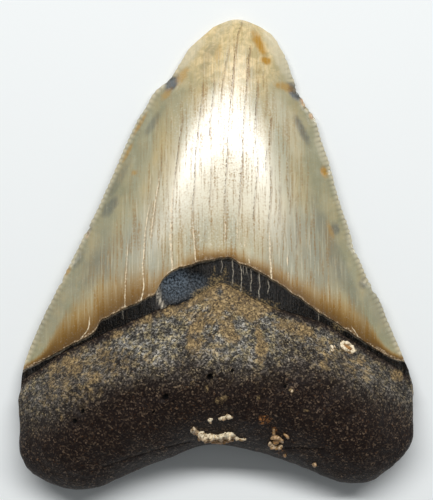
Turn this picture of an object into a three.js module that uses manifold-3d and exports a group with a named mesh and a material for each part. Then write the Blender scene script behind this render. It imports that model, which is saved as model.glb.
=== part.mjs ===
// A fossil megalodon tooth, lying on its flat outer face with the domed inner face up.
// It grew as one piece: a thick root with two lobes, a dark band where the gum line was, and an enamel crown.
// Millimetres. X runs across the tooth, Y from the root to the tip, and Z up through the thickness.
// The origin is under the middle of the outline, on the surface that the tooth rests on.
import * as THREE from "three";
import { mergeVertices } from "three/addons/utils/BufferGeometryUtils.js";
import Module from "manifold-3d";

// Outline. The two sides are lists of [y, x], and the lower margin and the tip are lists of [x, y].
const LEFT_SIDE = [
  [-57.1, -47.4], [-55.0, -49.2], [-52.4, -50.5], [-49.8, -50.9], [-45.9, -50.7], [-40.7, -51.1], [-38.1, -51.3],
  [-35.5, -50.8], [-31.6, -50.5], [-27.7, -49.6], [-17.3, -45.4], [3.5, -35.0], [13.9, -29.9], [26.9, -24.2],
  [34.7, -20.6], [38.6, -18.2], [41.2, -16.8], [43.0, -15.3], [45.1, -12.7], [47.7, -10.9], [52.9, -7.7],
  [55.0, -5.6], [59.1, -1.0],
];
const RIGHT_SIDE = [
  [-55.0, 45.9], [-52.4, 48.4], [-49.8, 50.3], [-47.2, 51.1], [-43.3, 51.2], [-38.1, 51.2], [-35.5, 51.4],
  [-32.9, 50.6], [-27.7, 49.1], [-17.3, 44.8], [-12.1, 42.7], [-6.9, 39.8], [-1.7, 37.6], [1.4, 36.1], [4.8, 35.3],
  [13.9, 32.3], [24.3, 29.5], [29.5, 27.7], [34.7, 26.2], [36.0, 25.5], [38.6, 23.5], [39.9, 22.9], [41.2, 21.9],
  [42.5, 21.1], [44.6, 20.8], [49.0, 19.4], [52.9, 17.5], [57.1, 14.9], [58.75, 12.6],
];
const LOWER_MARGIN = [
  [-47.4, -57.1], [-44.1, -59.0], [-40.4, -60.5], [-35.6, -61.2], [-30.6, -60.5], [-25.1, -58.1], [-12.4, -52.9],
  [-5.1, -50.1], [0.9, -49.5], [11.3, -51.4], [20.7, -54.5], [28.7, -58.0], [32.6, -59.2], [36.9, -59.5],
  [41.0, -58.6], [45.9, -55.0],
];
const TIP = [
  [-1.0, 59.1], [1.4, 60.2], [3.8, 61.1], [5.6, 61.3], [7.0, 61.15], [8.7, 60.6], [10.9, 59.65], [12.6, 58.75],
];

// Where the enamel ends on the inner face, and where the root begins below the dark band, both [x, y].
const ENAMEL_EDGE = [
  [-50.3, -30.0], [-45.3, -27.8], [-40.2, -24.9], [-35.2, -22.4], [-30.9, -19.6], [-29.8, -17.4], [-25.1, -14.5],
  [-15.8, -10.2], [-14.7, -8.4], [-13.0, -5.6], [-10.1, -3.8], [-4.3, -2.3], [2.9, -1.1], [6.4, -2.3], [14.3, -6.6],
  [19.4, -9.5], [23.7, -13.1], [32.3, -18.5], [42.4, -25.3], [46.6, -27.2], [49.2, -27.8],
];
const ROOT_EDGE = [
  [-50.8, -33.7], [-45.3, -30.0], [-40.2, -26.4], [-35.2, -23.9], [-24.4, -18.9], [-15.1, -14.9], [-5.8, -11.6],
  [-1.4, -9.2], [1.4, -7.9], [5.8, -9.9], [10.8, -12.4], [15.7, -14.5], [26.6, -17.8], [35.2, -22.8],
  [45.9, -29.3], [50.4, -32.6],
];
// On the outer face the enamel reaches further down, in a low arch.
const OUTER_ENAMEL_EDGE = [
  [-50.3, -30.0], [-38.0, -27.6], [-20.0, -23.4], [0.0, -21.2], [20.0, -23.0], [38.0, -27.0], [49.2, -27.8],
];

// Heights, as [y, mm]: how high the outline itself lies, how far the inner face of the crown rises above it along
// the middle, and how high the middle of the outer face lies. Below zero it is worn flat on the surface.
const RIM_HEIGHT = [
  [-61, 7.6], [-50, 8.2], [-42, 7.0], [-34, 4.8], [-28, 3.9], [-10, 4.2], [15, 3.6], [45, 2.2], [61.3, 1.6],
];
const CROWN_DOME = [
  [-35, 16.4], [-20, 14.9], [-8, 13.4], [5, 12.1], [19, 10.9], [30, 9.6], [42, 7.6], [52, 5.4], [61.3, 3.0],
];
const OUTER_FACE = [[-30, 1.9], [-10, 2.0], [10, 1.7], [28, 0.8], [42, -0.2], [53, -0.2], [61.3, 0.4]];
const TIP_ROUNDING = 7;

// Root. Its inner face has one long crest through both lobes, highest in the middle.
const CREST = { height: 26.6, y: -27.5, bend: -0.0105, fall: 0.0052, spread: 0.013 };
const SHOULDER = { middle: 16, side: 5 }; // the crown's surface turns into the root's over this distance
const INNER_ROUNDING = 13; // how far in from the margin the root's inner face is rounded
const OUTER_ROUNDING = 6;
const OUTER_HOLLOW = 2.0; // height of the outer face of the root between the lobes
const LOBE_FOOT = { x: 33, y: -46, wide: 11, long: 8.5, depth: 2.75 }; // where each lobe comes down to the surface
const SWELL = { height: 0.45, wave: 15 }; // slow unevenness of the root
const HALF_WIDTH = 51;

// Relief along the gum line.
const BAND_DEPTH = 0.7; // the dark band lies this far below the enamel and the root
const OUTER_STEP = 0.35; // the enamel ends in a step this high on the outer face
const LEDGE = 0.35; // how wide each step is in plan
const LEDGE_FADE = 6; // near the outline the steps die away over this distance

// Serrations along both cutting edges, worn away near the tip, and places where the edge has chipped.
const SERRATION = { depth: 0.38, wornFrom: 42, goneAt: 57 };
const CHIPS = [
  { side: -1, y: 6.3, half: 1.4, depth: 0.45 },
  { side: -1, y: -7.5, half: 1.1, depth: 0.4 },
  { side: 1, y: -9.6, half: 1.2, depth: 0.45 },
];

// Pits in the inner face of the root, where vessels went in: [x, y, radius].
const PITS = [
  [-1.4, -32.1, 0.9], [-13.2, -37.6, 1.1], [-16.3, -41.5, 0.7], [18.3, -34.5, 0.8], [-37.1, -43.6, 0.9],
  [-27.0, -34.0, 0.7], [30.5, -40.5, 0.7],
];

// Crusts that sea animals left on the root, as low lumps: [x, y, half length, half width, height, turn in degrees].
const LUMPS = [
  [-5.8, -45.9, 1.4, 0.9, 0.9, -50], [-3.0, -47.4, 2.2, 0.9, 1.1, -12], [0.2, -47.6, 1.6, 0.8, 0.9, 0],
  [2.9, -47.3, 2.1, 0.9, 1.1, 10], [6.7, -48.1, 1.8, 0.55, 0.6, -8], [-1.4, -43.6, 0.8, 0.9, 0.9, 0],
  [3.2, -42.6, 1.6, 0.7, 0.9, 15], [15.5, -49.3, 1.8, 1.3, 0.9, -15], [18.2, -52.8, 0.8, 0.9, 0.8, 0],
  [25.9, -55.1, 1.0, 0.8, 0.8, 0], [34.6, -24.8, 2.3, 1.3, 0.8, -30], [30.1, -24.4, 0.8, 1.5, 0.6, 10],
];
const BALL = { around: 7, down: 4 };

// How the faces are divided. Columns run from the left side to the right, and rows from the lower margin to the tip.
const COLUMNS = 42;
const ROWS = { root: 16, ledge: 1, band: 2, crown: 27 };
const EDGE_STEPS = 5; // the cutting edge has this many short steps for each row, and a serration takes two
// Lines stand closer together towards the outline. For the columns this is [key line, share], because it is
// strongest around the thick root.
const COLUMN_CROWDING = [[0, 0.8], [1, 0.72], [4, 0.6], [5, 0.3]];
const ROW_CROWDING = { margin: 0.65, tip: 0.25 };
const RIM_SAMPLES = 240;

const mix = (a, b, t) => a + (b - a) * t;
const clamp = (t) => Math.min(1, Math.max(0, t));
const smooth = (t) => clamp(t) ** 2 * (3 - 2 * clamp(t));
const quarterRound = (t) => Math.sqrt(1 - (1 - clamp(t)) ** 2);
const first = (list) => list[0];
const final = (list) => list[list.length - 1];

// The value at t of a smooth curve through knots [t, value]: cubic pieces whose slopes come from their neighbours.
function along(knots, t) {
  const last = knots.length - 1;
  const slope = (i) => {
    const a = knots[Math.max(0, i - 1)];
    const b = knots[Math.min(last, i + 1)];
    return (b[1] - a[1]) / (b[0] - a[0]);
  };
  let i = 0;
  while (i < last - 1 && t > knots[i + 1][0]) i++;
  const [t0, p0] = knots[i];
  const [t1, p1] = knots[i + 1];
  const gap = t1 - t0;
  const k = clamp((t - t0) / gap);
  return (
    p0 * (1 + 2 * k) * (1 - k) ** 2 + slope(i) * gap * k * (1 - k) ** 2 +
    p1 * k * k * (3 - 2 * k) + slope(i + 1) * gap * k * k * (k - 1)
  );
}

// A point of the outline's left (-1) or right (1) side at height y, with the chips taken out of it.
function sideX(side, y) {
  const chips = CHIPS.filter((chip) => chip.side === side);
  const cut = chips.reduce((sum, chip) => sum + chip.depth * (1 - smooth(Math.abs(y - chip.y) / chip.half)), 0);
  return along(side < 0 ? LEFT_SIDE : RIGHT_SIDE, y) - side * cut;
}

// The lines that certain rows follow: where each meets the two sides, and its height at x between them.
function keyLine(shape, shift = 0) {
  return { left: first(shape)[1] + shift, right: final(shape)[1] + shift, y: (x) => along(shape, x) + shift };
}
const ENAMEL_LINE = 4;
const INNER_LINES = [
  keyLine(LOWER_MARGIN), keyLine(ROOT_EDGE), keyLine(ROOT_EDGE, LEDGE), keyLine(ENAMEL_EDGE, -LEDGE),
  keyLine(ENAMEL_EDGE), keyLine(TIP),
];
// On the outer face there is no band, so its rows follow one another closely below the enamel.
const OUTER_DROPS = [null, 3.2, 2.6, LEDGE, 0, null];
const OUTER_LINES = INNER_LINES.map((line, k) => {
  const drop = OUTER_DROPS[k];
  return drop === null ? line : { ...line, y: (x) => along(OUTER_ENAMEL_EDGE, x) - drop };
});

// How high the left or right end of a row lies that is at share f between key lines k and k + 1.
const rowEnd = (side, k, f) => {
  const end = side < 0 ? "left" : "right";
  return mix(INNER_LINES[k][end], INNER_LINES[k + 1][end], f);
};

// A point in plan at share u across the tooth, on that row: the chord between its ends, bent as the key lines bend.
function planPoint(lines, k, f, u) {
  const left = rowEnd(-1, k, f);
  const right = rowEnd(1, k, f);
  const x = mix(sideX(-1, left), sideX(1, right), u);
  const bend = (line) => line.y(mix(sideX(-1, line.left), sideX(1, line.right), u)) - mix(line.left, line.right, u);
  return [x, mix(left, right, u) + mix(bend(lines[k]), bend(lines[k + 1]), f)];
}

// The root's outline as points, to measure how far a place is from it.
const HEEL_TOP = -20; // the sides count up to here
const rim = [];
for (let n = 0; n <= RIM_SAMPLES; n++) {
  const t = n / RIM_SAMPLES;
  const x = mix(first(LOWER_MARGIN)[0], final(LOWER_MARGIN)[0], t);
  rim.push([x, along(LOWER_MARGIN, x)]);
  const yLeft = mix(first(LEFT_SIDE)[0], HEEL_TOP, t);
  rim.push([sideX(-1, yLeft), yLeft]);
  const yRight = mix(first(RIGHT_SIDE)[0], HEEL_TOP, t);
  rim.push([sideX(1, yRight), yRight]);
}
const fromRim = (x, y) => Math.sqrt(Math.min(...rim.map(([a, b]) => (a - x) ** 2 + (b - y) ** 2)));

// How far across the crown x is: 0 on the middle line and 1 on a cutting edge.
function acrossCrown(x, y) {
  const low = Math.max(y, first(ROOT_EDGE)[1]);
  const a = along(LEFT_SIDE, low);
  const b = along(RIGHT_SIDE, low);
  return clamp(Math.abs(x - (a + b) / 2) / ((b - a) / 2));
}

// The crown thins to nothing at the rounded tip.
function tipFade(x, y) {
  const end = along(TIP, Math.min(final(TIP)[0], Math.max(first(TIP)[0], x)));
  return quarterRound((end - y) / TIP_ROUNDING);
}

// How much of the root's own surface shows at a distance below the line where the crown's surface ends.
function rootShare(x, below) {
  return smooth(below / mix(SHOULDER.middle, SHOULDER.side, (x / HALF_WIDTH) ** 2));
}

// Slow waves that keep the root from being too even.
function swell(x, y) {
  const w = (2 * Math.PI) / SWELL.wave;
  return SWELL.height * Math.sin(w * x + 1.3 * Math.sin(w * 0.6 * y)) * Math.sin(w * 0.8 * y + 0.7);
}

// Height of the domed inner face. The crown is a lens between its cutting edges, and the root a rounded crest.
function innerHeight(x, y, inBand = false) {
  const base = along(RIM_HEIGHT, y);
  const crown = along(CROWN_DOME, y) * (1 - acrossCrown(x, y) ** 2) ** 1.08 * tipFade(x, y);
  const crestY = CREST.y + CREST.bend * x * x;
  const crest = CREST.height - CREST.fall * x * x - CREST.spread * (y - crestY) ** 2;
  const root = (crest + swell(x, y) - base) * quarterRound(fromRim(x, y) / INNER_ROUNDING);
  const dip = inBand ? BAND_DEPTH * smooth(fromRim(x, y) / LEDGE_FADE) : 0;
  return base + mix(crown, root, rootShare(x, along(ROOT_EDGE, x) - y)) - dip;
}

// Height of the flat outer face, which rests on the two lobes and near the tip.
function outerHeight(x, y, onRoot) {
  const base = along(RIM_HEIGHT, y);
  const crown = (base - along(OUTER_FACE, y)) * (1 - acrossCrown(x, y) ** 2.6) * tipFade(x, y);
  const foot = ((Math.abs(x) - LOBE_FOOT.x) / LOBE_FOOT.wide) ** 2 + ((y - LOBE_FOOT.y) / LOBE_FOOT.long) ** 2;
  const face = OUTER_HOLLOW - LOBE_FOOT.depth * Math.exp(-foot / 2);
  const root = (base - face) * quarterRound(fromRim(x, y) / OUTER_ROUNDING);
  const step = onRoot ? OUTER_STEP * smooth(fromRim(x, y) / LEDGE_FADE) : 0;
  return Math.max(0, base - mix(crown, root, rootShare(x, along(OUTER_ENAMEL_EDGE, x) - y)) + step);
}

// Every row as [key line, share of the way to the next], closer together at the lower margin and at the tip.
function rowList() {
  const counts = [ROWS.root, ROWS.ledge, ROWS.band, ROWS.ledge, ROWS.crown];
  const rows = counts.flatMap((count, k) => Array.from({ length: count }, (_, j) => [k, j / count]));
  const crowded = rows.map(([k, t]) => {
    if (k === 0) return [k, mix(t, t * t, ROW_CROWDING.margin)];
    if (k === ENAMEL_LINE) return [k, mix(t, 1 - (1 - t) ** 2, ROW_CROWDING.tip)];
    return [k, t];
  });
  return [...crowded, [ENAMEL_LINE, 1]];
}

// Both faces of the tooth as one closed mesh. They share the points of the outline.
function toothGeometry() {
  const rows = rowList();
  const enamelRow = rows.findIndex(([k]) => k === ENAMEL_LINE);
  const sharesOf = (k, f) => Array.from({ length: COLUMNS + 1 }, (_, i) => {
    const turn = (2 * Math.PI * i) / COLUMNS;
    return (turn - along(COLUMN_CROWDING, k + f) * Math.sin(turn)) / (2 * Math.PI);
  });
  const points = [];
  const add = (x, y, z) => {
    points.push(x, y, z);
    return points.length / 3 - 1;
  };

  // A point of the cutting edge, a number of short steps up from the foot of the enamel. Odd steps are valleys.
  const edgePoint = (side, step) => {
    const j = enamelRow + Math.floor(step / EDGE_STEPS);
    const f = mix(rows[j][1], (rows[j + 1] ?? rows[j])[1], (step % EDGE_STEPS) / EDGE_STEPS);
    const y = rowEnd(side, ENAMEL_LINE, f);
    const wear = 1 - smooth((y - SERRATION.wornFrom) / (SERRATION.goneAt - SERRATION.wornFrom));
    const valley = step % 2 === 1 ? SERRATION.depth * wear : 0;
    return add(sideX(side, y) - side * valley, y, along(RIM_HEIGHT, y));
  };

  const inner = rows.map(([k, f], j) => sharesOf(k, f).map((u, i) => {
    const side = i === 0 ? -1 : 1;
    const atSide = i === 0 || i === COLUMNS;
    if (atSide && j >= enamelRow) return edgePoint(side, (j - enamelRow) * EDGE_STEPS);
    const [x, y] = planPoint(INNER_LINES, k, f, u);
    if (atSide || j === 0 || j === rows.length - 1) return add(x, y, along(RIM_HEIGHT, y));
    return add(x, y, innerHeight(x, y, k === 2 || (k === 3 && f === 0)));
  }));
  const outer = rows.map(([k, f], j) => sharesOf(k, f).map((u, i) => {
    if (i === 0 || i === COLUMNS || j === 0 || j === rows.length - 1) return inner[j][i];
    const [x, y] = planPoint(OUTER_LINES, k, f, u);
    return add(x, y, outerHeight(x, y, j < enamelRow));
  }));
  const between = [-1, 1].map((side) => rows.map((_, j) => {
    if (j < enamelRow || j === rows.length - 1) return [];
    const start = (j - enamelRow) * EDGE_STEPS;
    return Array.from({ length: EDGE_STEPS - 1 }, (_, n) => edgePoint(side, start + n + 1));
  }));

  const faces = [];
  const fan = (corners, turned) => {
    for (let n = 1; n < corners.length - 1; n++) {
      const [a, b, c] = [corners[0], corners[n], corners[n + 1]];
      faces.push(...(turned ? [a, c, b] : [a, b, c]));
    }
  };
  for (const sheet of [inner, outer]) {
    for (let j = 0; j < rows.length - 1; j++) {
      for (let i = 0; i < COLUMNS; i++) {
        const [a, b, c, d] = [sheet[j][i], sheet[j][i + 1], sheet[j + 1][i + 1], sheet[j + 1][i]];
        const onLeft = i === 0 ? [...between[0][j]].reverse() : [];
        const onRight = i === COLUMNS - 1 ? between[1][j] : [];
        fan(i === 0 ? [b, c, d, ...onLeft, a] : [a, b, ...onRight, c, d], sheet === outer);
      }
    }
  }
  return new THREE.BufferGeometry()
    .setAttribute("position", new THREE.Float32BufferAttribute(points, 3))
    .setIndex(faces);
}

const wasm = await Module();
wasm.setup();

function solidOf(geometry) {
  const bare = geometry.clone();
  bare.deleteAttribute("normal");
  bare.deleteAttribute("uv");
  const merged = mergeVertices(bare, 1e-4);
  return new wasm.Manifold(
    new wasm.Mesh({
      numProp: 3,
      vertProperties: new Float32Array(merged.attributes.position.array),
      triVerts: new Uint32Array(merged.index.array),
    }),
  );
}

function geometryOf(solid) {
  const { vertProperties, triVerts } = solid.getMesh();
  return new THREE.BufferGeometry()
    .setAttribute("position", new THREE.Float32BufferAttribute(vertProperties, 3))
    .setIndex([...triVerts]);
}

// A stretched ball, half sunk in the inner face of the root.
function ballAt(x, y, halfLength, halfWidth, height, turn = 0) {
  const ball = new THREE.SphereGeometry(1, BALL.around, BALL.down);
  ball.rotateX(Math.PI / 2);
  ball.scale(halfLength, halfWidth, height);
  ball.rotateZ(THREE.MathUtils.degToRad(turn));
  ball.translate(x, y, innerHeight(x, y));
  return solidOf(ball);
}

let tooth = solidOf(toothGeometry());
for (const [x, y, halfLength, halfWidth, height, turn] of LUMPS) {
  tooth = tooth.add(ballAt(x, y, halfLength, halfWidth, height, turn));
}
for (const [x, y, radius] of PITS) {
  tooth = tooth.subtract(ballAt(x, y, radius, radius, 1.5 * radius));
}

const fossil = new THREE.MeshStandardMaterial({ color: 0x9c8f70, roughness: 0.45, metalness: 0 });
const toothMesh = new THREE.Mesh(geometryOf(tooth), fossil);
toothMesh.name = "tooth";

const part = new THREE.Group();
part.add(toothMesh);
export default part;
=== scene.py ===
import bpy
import numpy as np
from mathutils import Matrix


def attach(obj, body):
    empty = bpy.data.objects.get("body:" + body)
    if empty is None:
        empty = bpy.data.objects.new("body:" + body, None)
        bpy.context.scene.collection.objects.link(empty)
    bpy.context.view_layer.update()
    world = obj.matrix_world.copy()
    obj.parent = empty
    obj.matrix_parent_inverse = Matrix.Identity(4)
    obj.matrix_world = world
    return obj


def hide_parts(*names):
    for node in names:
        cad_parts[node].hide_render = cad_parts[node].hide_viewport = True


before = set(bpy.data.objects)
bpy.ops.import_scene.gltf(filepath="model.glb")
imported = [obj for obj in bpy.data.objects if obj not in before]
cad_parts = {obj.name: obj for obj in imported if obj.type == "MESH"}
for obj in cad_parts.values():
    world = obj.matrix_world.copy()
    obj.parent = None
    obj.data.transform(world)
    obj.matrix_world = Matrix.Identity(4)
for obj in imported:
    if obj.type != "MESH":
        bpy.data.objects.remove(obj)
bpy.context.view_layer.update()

# Tooth: outline.
# It grew as one piece: a thick root of bone with two lobes, a band of bare dentine along the gum
# line, and a crown of dentine under enamel. The two sides of its outline are lists of (y, x), and
# every other line is a list of (x, y).
MM = 0.001
LEFT_SIDE = [
    (-57.1, -47.4), (-55.0, -49.2), (-52.4, -50.5), (-49.8, -50.9), (-45.9, -50.7), (-40.7, -51.1),
    (-38.1, -51.3), (-35.5, -50.8), (-31.6, -50.5), (-27.7, -49.6), (-17.3, -45.4), (3.5, -35.0),
    (13.9, -29.9), (26.9, -24.2), (34.7, -20.6), (38.6, -18.2), (41.2, -16.8), (43.0, -15.3),
    (45.1, -12.7), (47.7, -10.9), (52.9, -7.7), (55.0, -5.6), (59.1, -1.0),
]
RIGHT_SIDE = [
    (-55.0, 45.9), (-52.4, 48.4), (-49.8, 50.3), (-47.2, 51.1), (-43.3, 51.2), (-38.1, 51.2),
    (-35.5, 51.4), (-32.9, 50.6), (-27.7, 49.1), (-17.3, 44.8), (-12.1, 42.7), (-6.9, 39.8),
    (-1.7, 37.6), (1.4, 36.1), (4.8, 35.3), (13.9, 32.3), (24.3, 29.5), (29.5, 27.7), (34.7, 26.2),
    (36.0, 25.5), (38.6, 23.5), (39.9, 22.9), (41.2, 21.9), (42.5, 21.1), (44.6, 20.8),
    (49.0, 19.4), (52.9, 17.5), (57.1, 14.9), (58.75, 12.6),
]
LOWER_MARGIN = [
    (-47.4, -57.1), (-44.1, -59.0), (-40.4, -60.5), (-35.6, -61.2), (-30.6, -60.5), (-25.1, -58.1),
    (-12.4, -52.9), (-5.1, -50.1), (0.9, -49.5), (11.3, -51.4), (20.7, -54.5), (28.7, -58.0),
    (32.6, -59.2), (36.9, -59.5), (41.0, -58.6), (45.9, -55.0),
]
TIP = [
    (-1.0, 59.1), (1.4, 60.2), (3.8, 61.1), (5.6, 61.3), (7.0, 61.15), (8.7, 60.6), (10.9, 59.65),
    (12.6, 58.75),
]
# The enamel ends here on the inner face, and the root begins below the band.
ENAMEL_EDGE = [
    (-50.3, -30.0), (-45.3, -27.8), (-40.2, -24.9), (-35.2, -22.4), (-30.9, -19.6), (-29.8, -17.4),
    (-25.1, -14.5), (-15.8, -10.2), (-14.7, -8.4), (-13.0, -5.6), (-10.1, -3.8), (-4.3, -2.3),
    (2.9, -1.1), (6.4, -2.3), (14.3, -6.6), (19.4, -9.5), (23.7, -13.1), (32.3, -18.5),
    (42.4, -25.3), (46.6, -27.2), (49.2, -27.8),
]
ROOT_EDGE = [
    (-50.8, -33.7), (-45.3, -30.0), (-40.2, -26.4), (-35.2, -23.9), (-24.4, -18.9), (-15.1, -14.9),
    (-5.8, -11.6), (-1.4, -9.2), (1.4, -7.9), (5.8, -9.9), (10.8, -12.4), (15.7, -14.5),
    (26.6, -17.8), (35.2, -22.8), (45.9, -29.3), (50.4, -32.6),
]
# On the outer face the enamel reaches further down, in a low arch.
OUTER_ENAMEL_EDGE = [
    (-50.3, -30.0), (-38.0, -27.6), (-20.0, -23.4), (0.0, -21.2), (20.0, -23.0), (38.0, -27.0),
    (49.2, -27.8),
]
LEDGE = 0.35  # width in plan of the step at either side of the band
KEY_LINES = [
    (LOWER_MARGIN, 0), (ROOT_EDGE, 0), (ROOT_EDGE, LEDGE), (ENAMEL_EDGE, -LEDGE), (ENAMEL_EDGE, 0),
    (TIP, 0),
]
OUTER_DROPS = [3.2, 2.6, LEDGE, 0]
OUTER_LINES = [KEY_LINES[0], *[(OUTER_ENAMEL_EDGE, -drop) for drop in OUTER_DROPS], KEY_LINES[-1]]
# How unevenly each key line runs, and the seed of that unevenness.
RAGGED = [(0, 0), (0.35, 1), (0.35, 1), (0.6, 3), (0.6, 3), (0, 5)]
CHIPS = [  # side, y, half length, depth
    (-1, 6.3, 1.4, 0.45), (-1, -7.5, 1.1, 0.4), (1, -9.6, 1.2, 0.45),
]
# The fine wear of the cutting edges: its depth, and the heights where it starts and where it grows
# deeper.
NICKS, NICKS_FROM, NICKS_DEEPER_FROM = 0.12, -26, 42


def smooth(t):
    """Rises from 0 to 1 as t does, level at both ends: three times t squared less twice t cubed."""
    t = np.clip(t, 0, 1)
    return t * t * (3 - 2 * t)


def mix(a, b, t):
    """The value at share t of the way from a to b."""
    return a + (b - a) * t


def along(knots, t):
    """A curve through knots (t, value): cubic pieces whose slope at a knot is that of the line past
    its neighbours."""
    at, value = np.array(knots, float).T
    order = np.arange(len(at))
    before, after = np.maximum(order - 1, 0), np.minimum(order + 1, len(at) - 1)
    slope = (value[after] - value[before]) / (at[after] - at[before])
    i = np.clip(np.searchsorted(at, t) - 1, 0, len(at) - 2)
    gap = at[i + 1] - at[i]
    k = np.clip((t - at[i]) / gap, 0, 1)
    start = value[i] * (1 + 2 * k) + slope[i] * gap * k
    end = value[i + 1] * (3 - 2 * k) + slope[i + 1] * gap * (k - 1)
    return start * (1 - k) ** 2 + end * k * k


def unevenness(size, seed, x, y=0.0, z=0.0):
    """Noise from -1 to 1: a fixed random value at each corner of a grid of cubes, blended smoothly
    inside a cube."""
    at = np.stack(np.broadcast_arrays(x, y, z), -1) / size + 500.5
    cell = np.floor(at).astype(np.int64)
    t = at - cell
    t = t * t * (3 - 2 * t)
    total = 0.0
    for corner in np.ndindex(2, 2, 2):
        n = (cell + np.array(corner)) @ np.array([374761, 668265, 2147483]) + seed * 974711
        n = (n ^ (n >> 7)) * 1274126177 % 2147483647
        n = (n ^ (n >> 15)) * 668265263 % 2147483647
        total = total + (n / 1073741823.5 - 1) * np.prod(np.where(corner, t, 1 - t), -1)
    return total


def side_x(side, y):
    """The outline's left (-1) or right (1) side at height y, less its chips and the fine wear of
    its cutting edge."""
    x = along(LEFT_SIDE if side < 0 else RIGHT_SIDE, y)
    for _, chip_y, half, depth in [chip for chip in CHIPS if chip[0] == side]:
        x = x - side * depth * (1 - smooth(np.abs(y - chip_y) / half))
    wear = unevenness(2.3, 5 + side, y) + 0.7 * unevenness(0.9, 8 + side, y)
    depth = NICKS * smooth((y - NICKS_FROM) / 6) * (1 + 2 * smooth((y - NICKS_DEEPER_FROM) / 5))
    return x - side * depth * (wear + 0.6)


def wobble(seed, x):
    """How a broken edge wanders along x: a slow unevenness and a fast one."""
    return unevenness(2.6, seed, x) + 0.6 * unevenness(0.8, seed, x)


LINE_ENDS = np.array([(line[0][1] + shift, line[-1][1] + shift) for line, shift in KEY_LINES])


def plan_points(lines, span, share, u):
    """Points in plan. A row lies at a share of the way from one key line to the next. Its x goes
    evenly from side to side, and its y is the chord between its ends, plus the same mix of how far
    the two key lines bend from theirs."""
    left, right = [mix(ends[span], ends[span + 1], share)[:, None] for ends in LINE_ENDS.T]
    x = mix(side_x(-1, left), side_x(1, right), u)
    bends = []
    for n, (line, shift) in enumerate(lines):
        low_left, low_right = LINE_ENDS[n]
        line_x = mix(side_x(-1, low_left), side_x(1, low_right), u)
        rough = RAGGED[n][0] * wobble(RAGGED[n][1], line_x)
        bend = along(line, line_x) + shift - mix(low_left, low_right, u)
        bends.append(bend + rough * smooth(5 * u * (1 - u)))
    rows = np.arange(len(span))
    bends = np.array(bends)
    bend = mix(bends[span, rows], bends[span + 1, rows], share[:, None])
    return x, mix(left, right, u) + bend


# Tooth: heights of the two faces, by the solid's formulas, except that the dome follows the chips
# only at the edges. The crown is a lens between its cutting edges, thinnest at the tip, and the
# root one long rounded crest.
RIM_HEIGHT = [
    (-61, 7.6), (-50, 8.2), (-42, 7.0), (-34, 4.8), (-28, 3.9), (-10, 4.2), (15, 3.6), (45, 2.2),
    (61.3, 1.6),
]
CROWN_DOME = [
    (-35, 16.4), (-20, 14.9), (-8, 13.4), (5, 12.1), (19, 10.9), (30, 9.6), (42, 7.6), (52, 5.4),
    (61.3, 3.0),
]
# The two sides without their chips, which the dome follows away from the edges.
LEFT_BROAD = [
    (-34, -50.8), (-17.3, -45.4), (3.5, -35), (13.9, -29.9), (26.9, -24.2), (38, -18.4),
    (48, -11.2), (61.3, 2),
]
RIGHT_BROAD = [
    (-34, 50.8), (-17.3, 44.9), (0, 36.9), (13.9, 32.2), (29.5, 27.3), (42, 21.8), (52, 17),
    (61.3, 9.5),
]
OUTER_FACE = [(-30, 1.9), (-10, 2.0), (10, 1.7), (28, 0.8), (42, -0.2), (53, -0.2), (61.3, 0.4)]
TIP_ROUNDING, DOME_POWER, OUTER_POWER = 7, 1.08, 2.6
CREST_HEIGHT, CREST_Y, CREST_BEND, CREST_FALL, CREST_SPREAD = 26.6, -27.5, -0.0105, 0.0052, 0.013
SHOULDER_MIDDLE, SHOULDER_SIDE, HALF_WIDTH = 16, 5, 51
INNER_ROUNDING, OUTER_ROUNDING = 13, 6
OUTER_HOLLOW = 2.0
LOBE_FOOT_X, LOBE_FOOT_Y, LOBE_FOOT_WIDE, LOBE_FOOT_LONG, LOBE_FOOT_DEPTH = 33, -46, 11, 8.5, 2.75
SWELL_HEIGHT, SWELL_WAVE = 0.45, 15
BAND_DEPTH, OUTER_STEP, LEDGE_FADE = 0.7, 0.35, 6
HEEL_TOP = -20


def quarter_round(t):
    """Rises from 0 to 1 as a quarter of a circle, upright at first and level at the end."""
    return np.sqrt(1 - (1 - np.clip(t, 0, 1)) ** 2)


left_heel = np.linspace(HEEL_TOP, LEFT_SIDE[0][0], 220)
right_heel = np.linspace(RIGHT_SIDE[0][0], HEEL_TOP, 220)
margin_x = np.linspace(LOWER_MARGIN[0][0], LOWER_MARGIN[-1][0], 420)
root_rim = np.concatenate([
    np.stack([side_x(-1, left_heel), left_heel], 1),
    np.stack([margin_x, along(LOWER_MARGIN, margin_x)], 1)[1:-1],
    np.stack([side_x(1, right_heel), right_heel], 1),
])


def from_line(points, x, y):
    """How far each place is in plan from a line of points: the least distance to its short straight
    pieces."""
    nearest = np.full(np.shape(x), np.inf)
    for (ax, ay), (dx, dy) in zip(points[:-1], np.diff(points, axis=0)):
        t = np.clip(((x - ax) * dx + (y - ay) * dy) / (dx * dx + dy * dy), 0, 1)
        nearest = np.minimum(nearest, (x - ax - t * dx) ** 2 + (y - ay - t * dy) ** 2)
    return np.sqrt(nearest)


def across_crown(x, y):
    """How far across the crown a place is: 0 on its middle line, and 1 on a cutting edge. It is
    worked out without the chips and with them, and mixed by the cube of the second, so that the
    chips fade out towards the middle line."""
    low = np.maximum(y, ROOT_EDGE[0][1])
    shares = []
    for left_side, right_side in ((LEFT_BROAD, RIGHT_BROAD), (LEFT_SIDE, RIGHT_SIDE)):
        left, right = along(left_side, low), along(right_side, low)
        shares.append(np.clip(np.abs(x - (left + right) / 2) / ((right - left) / 2), 0, 1))
    return mix(shares[0], shares[1], shares[1] ** 3)


def tip_fade(x, y):
    """Falls from 1 to 0 over the last few millimetres before the tip, as a quarter of a circle."""
    return quarter_round((along(TIP, np.clip(x, TIP[0][0], TIP[-1][0])) - y) / TIP_ROUNDING)


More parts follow.
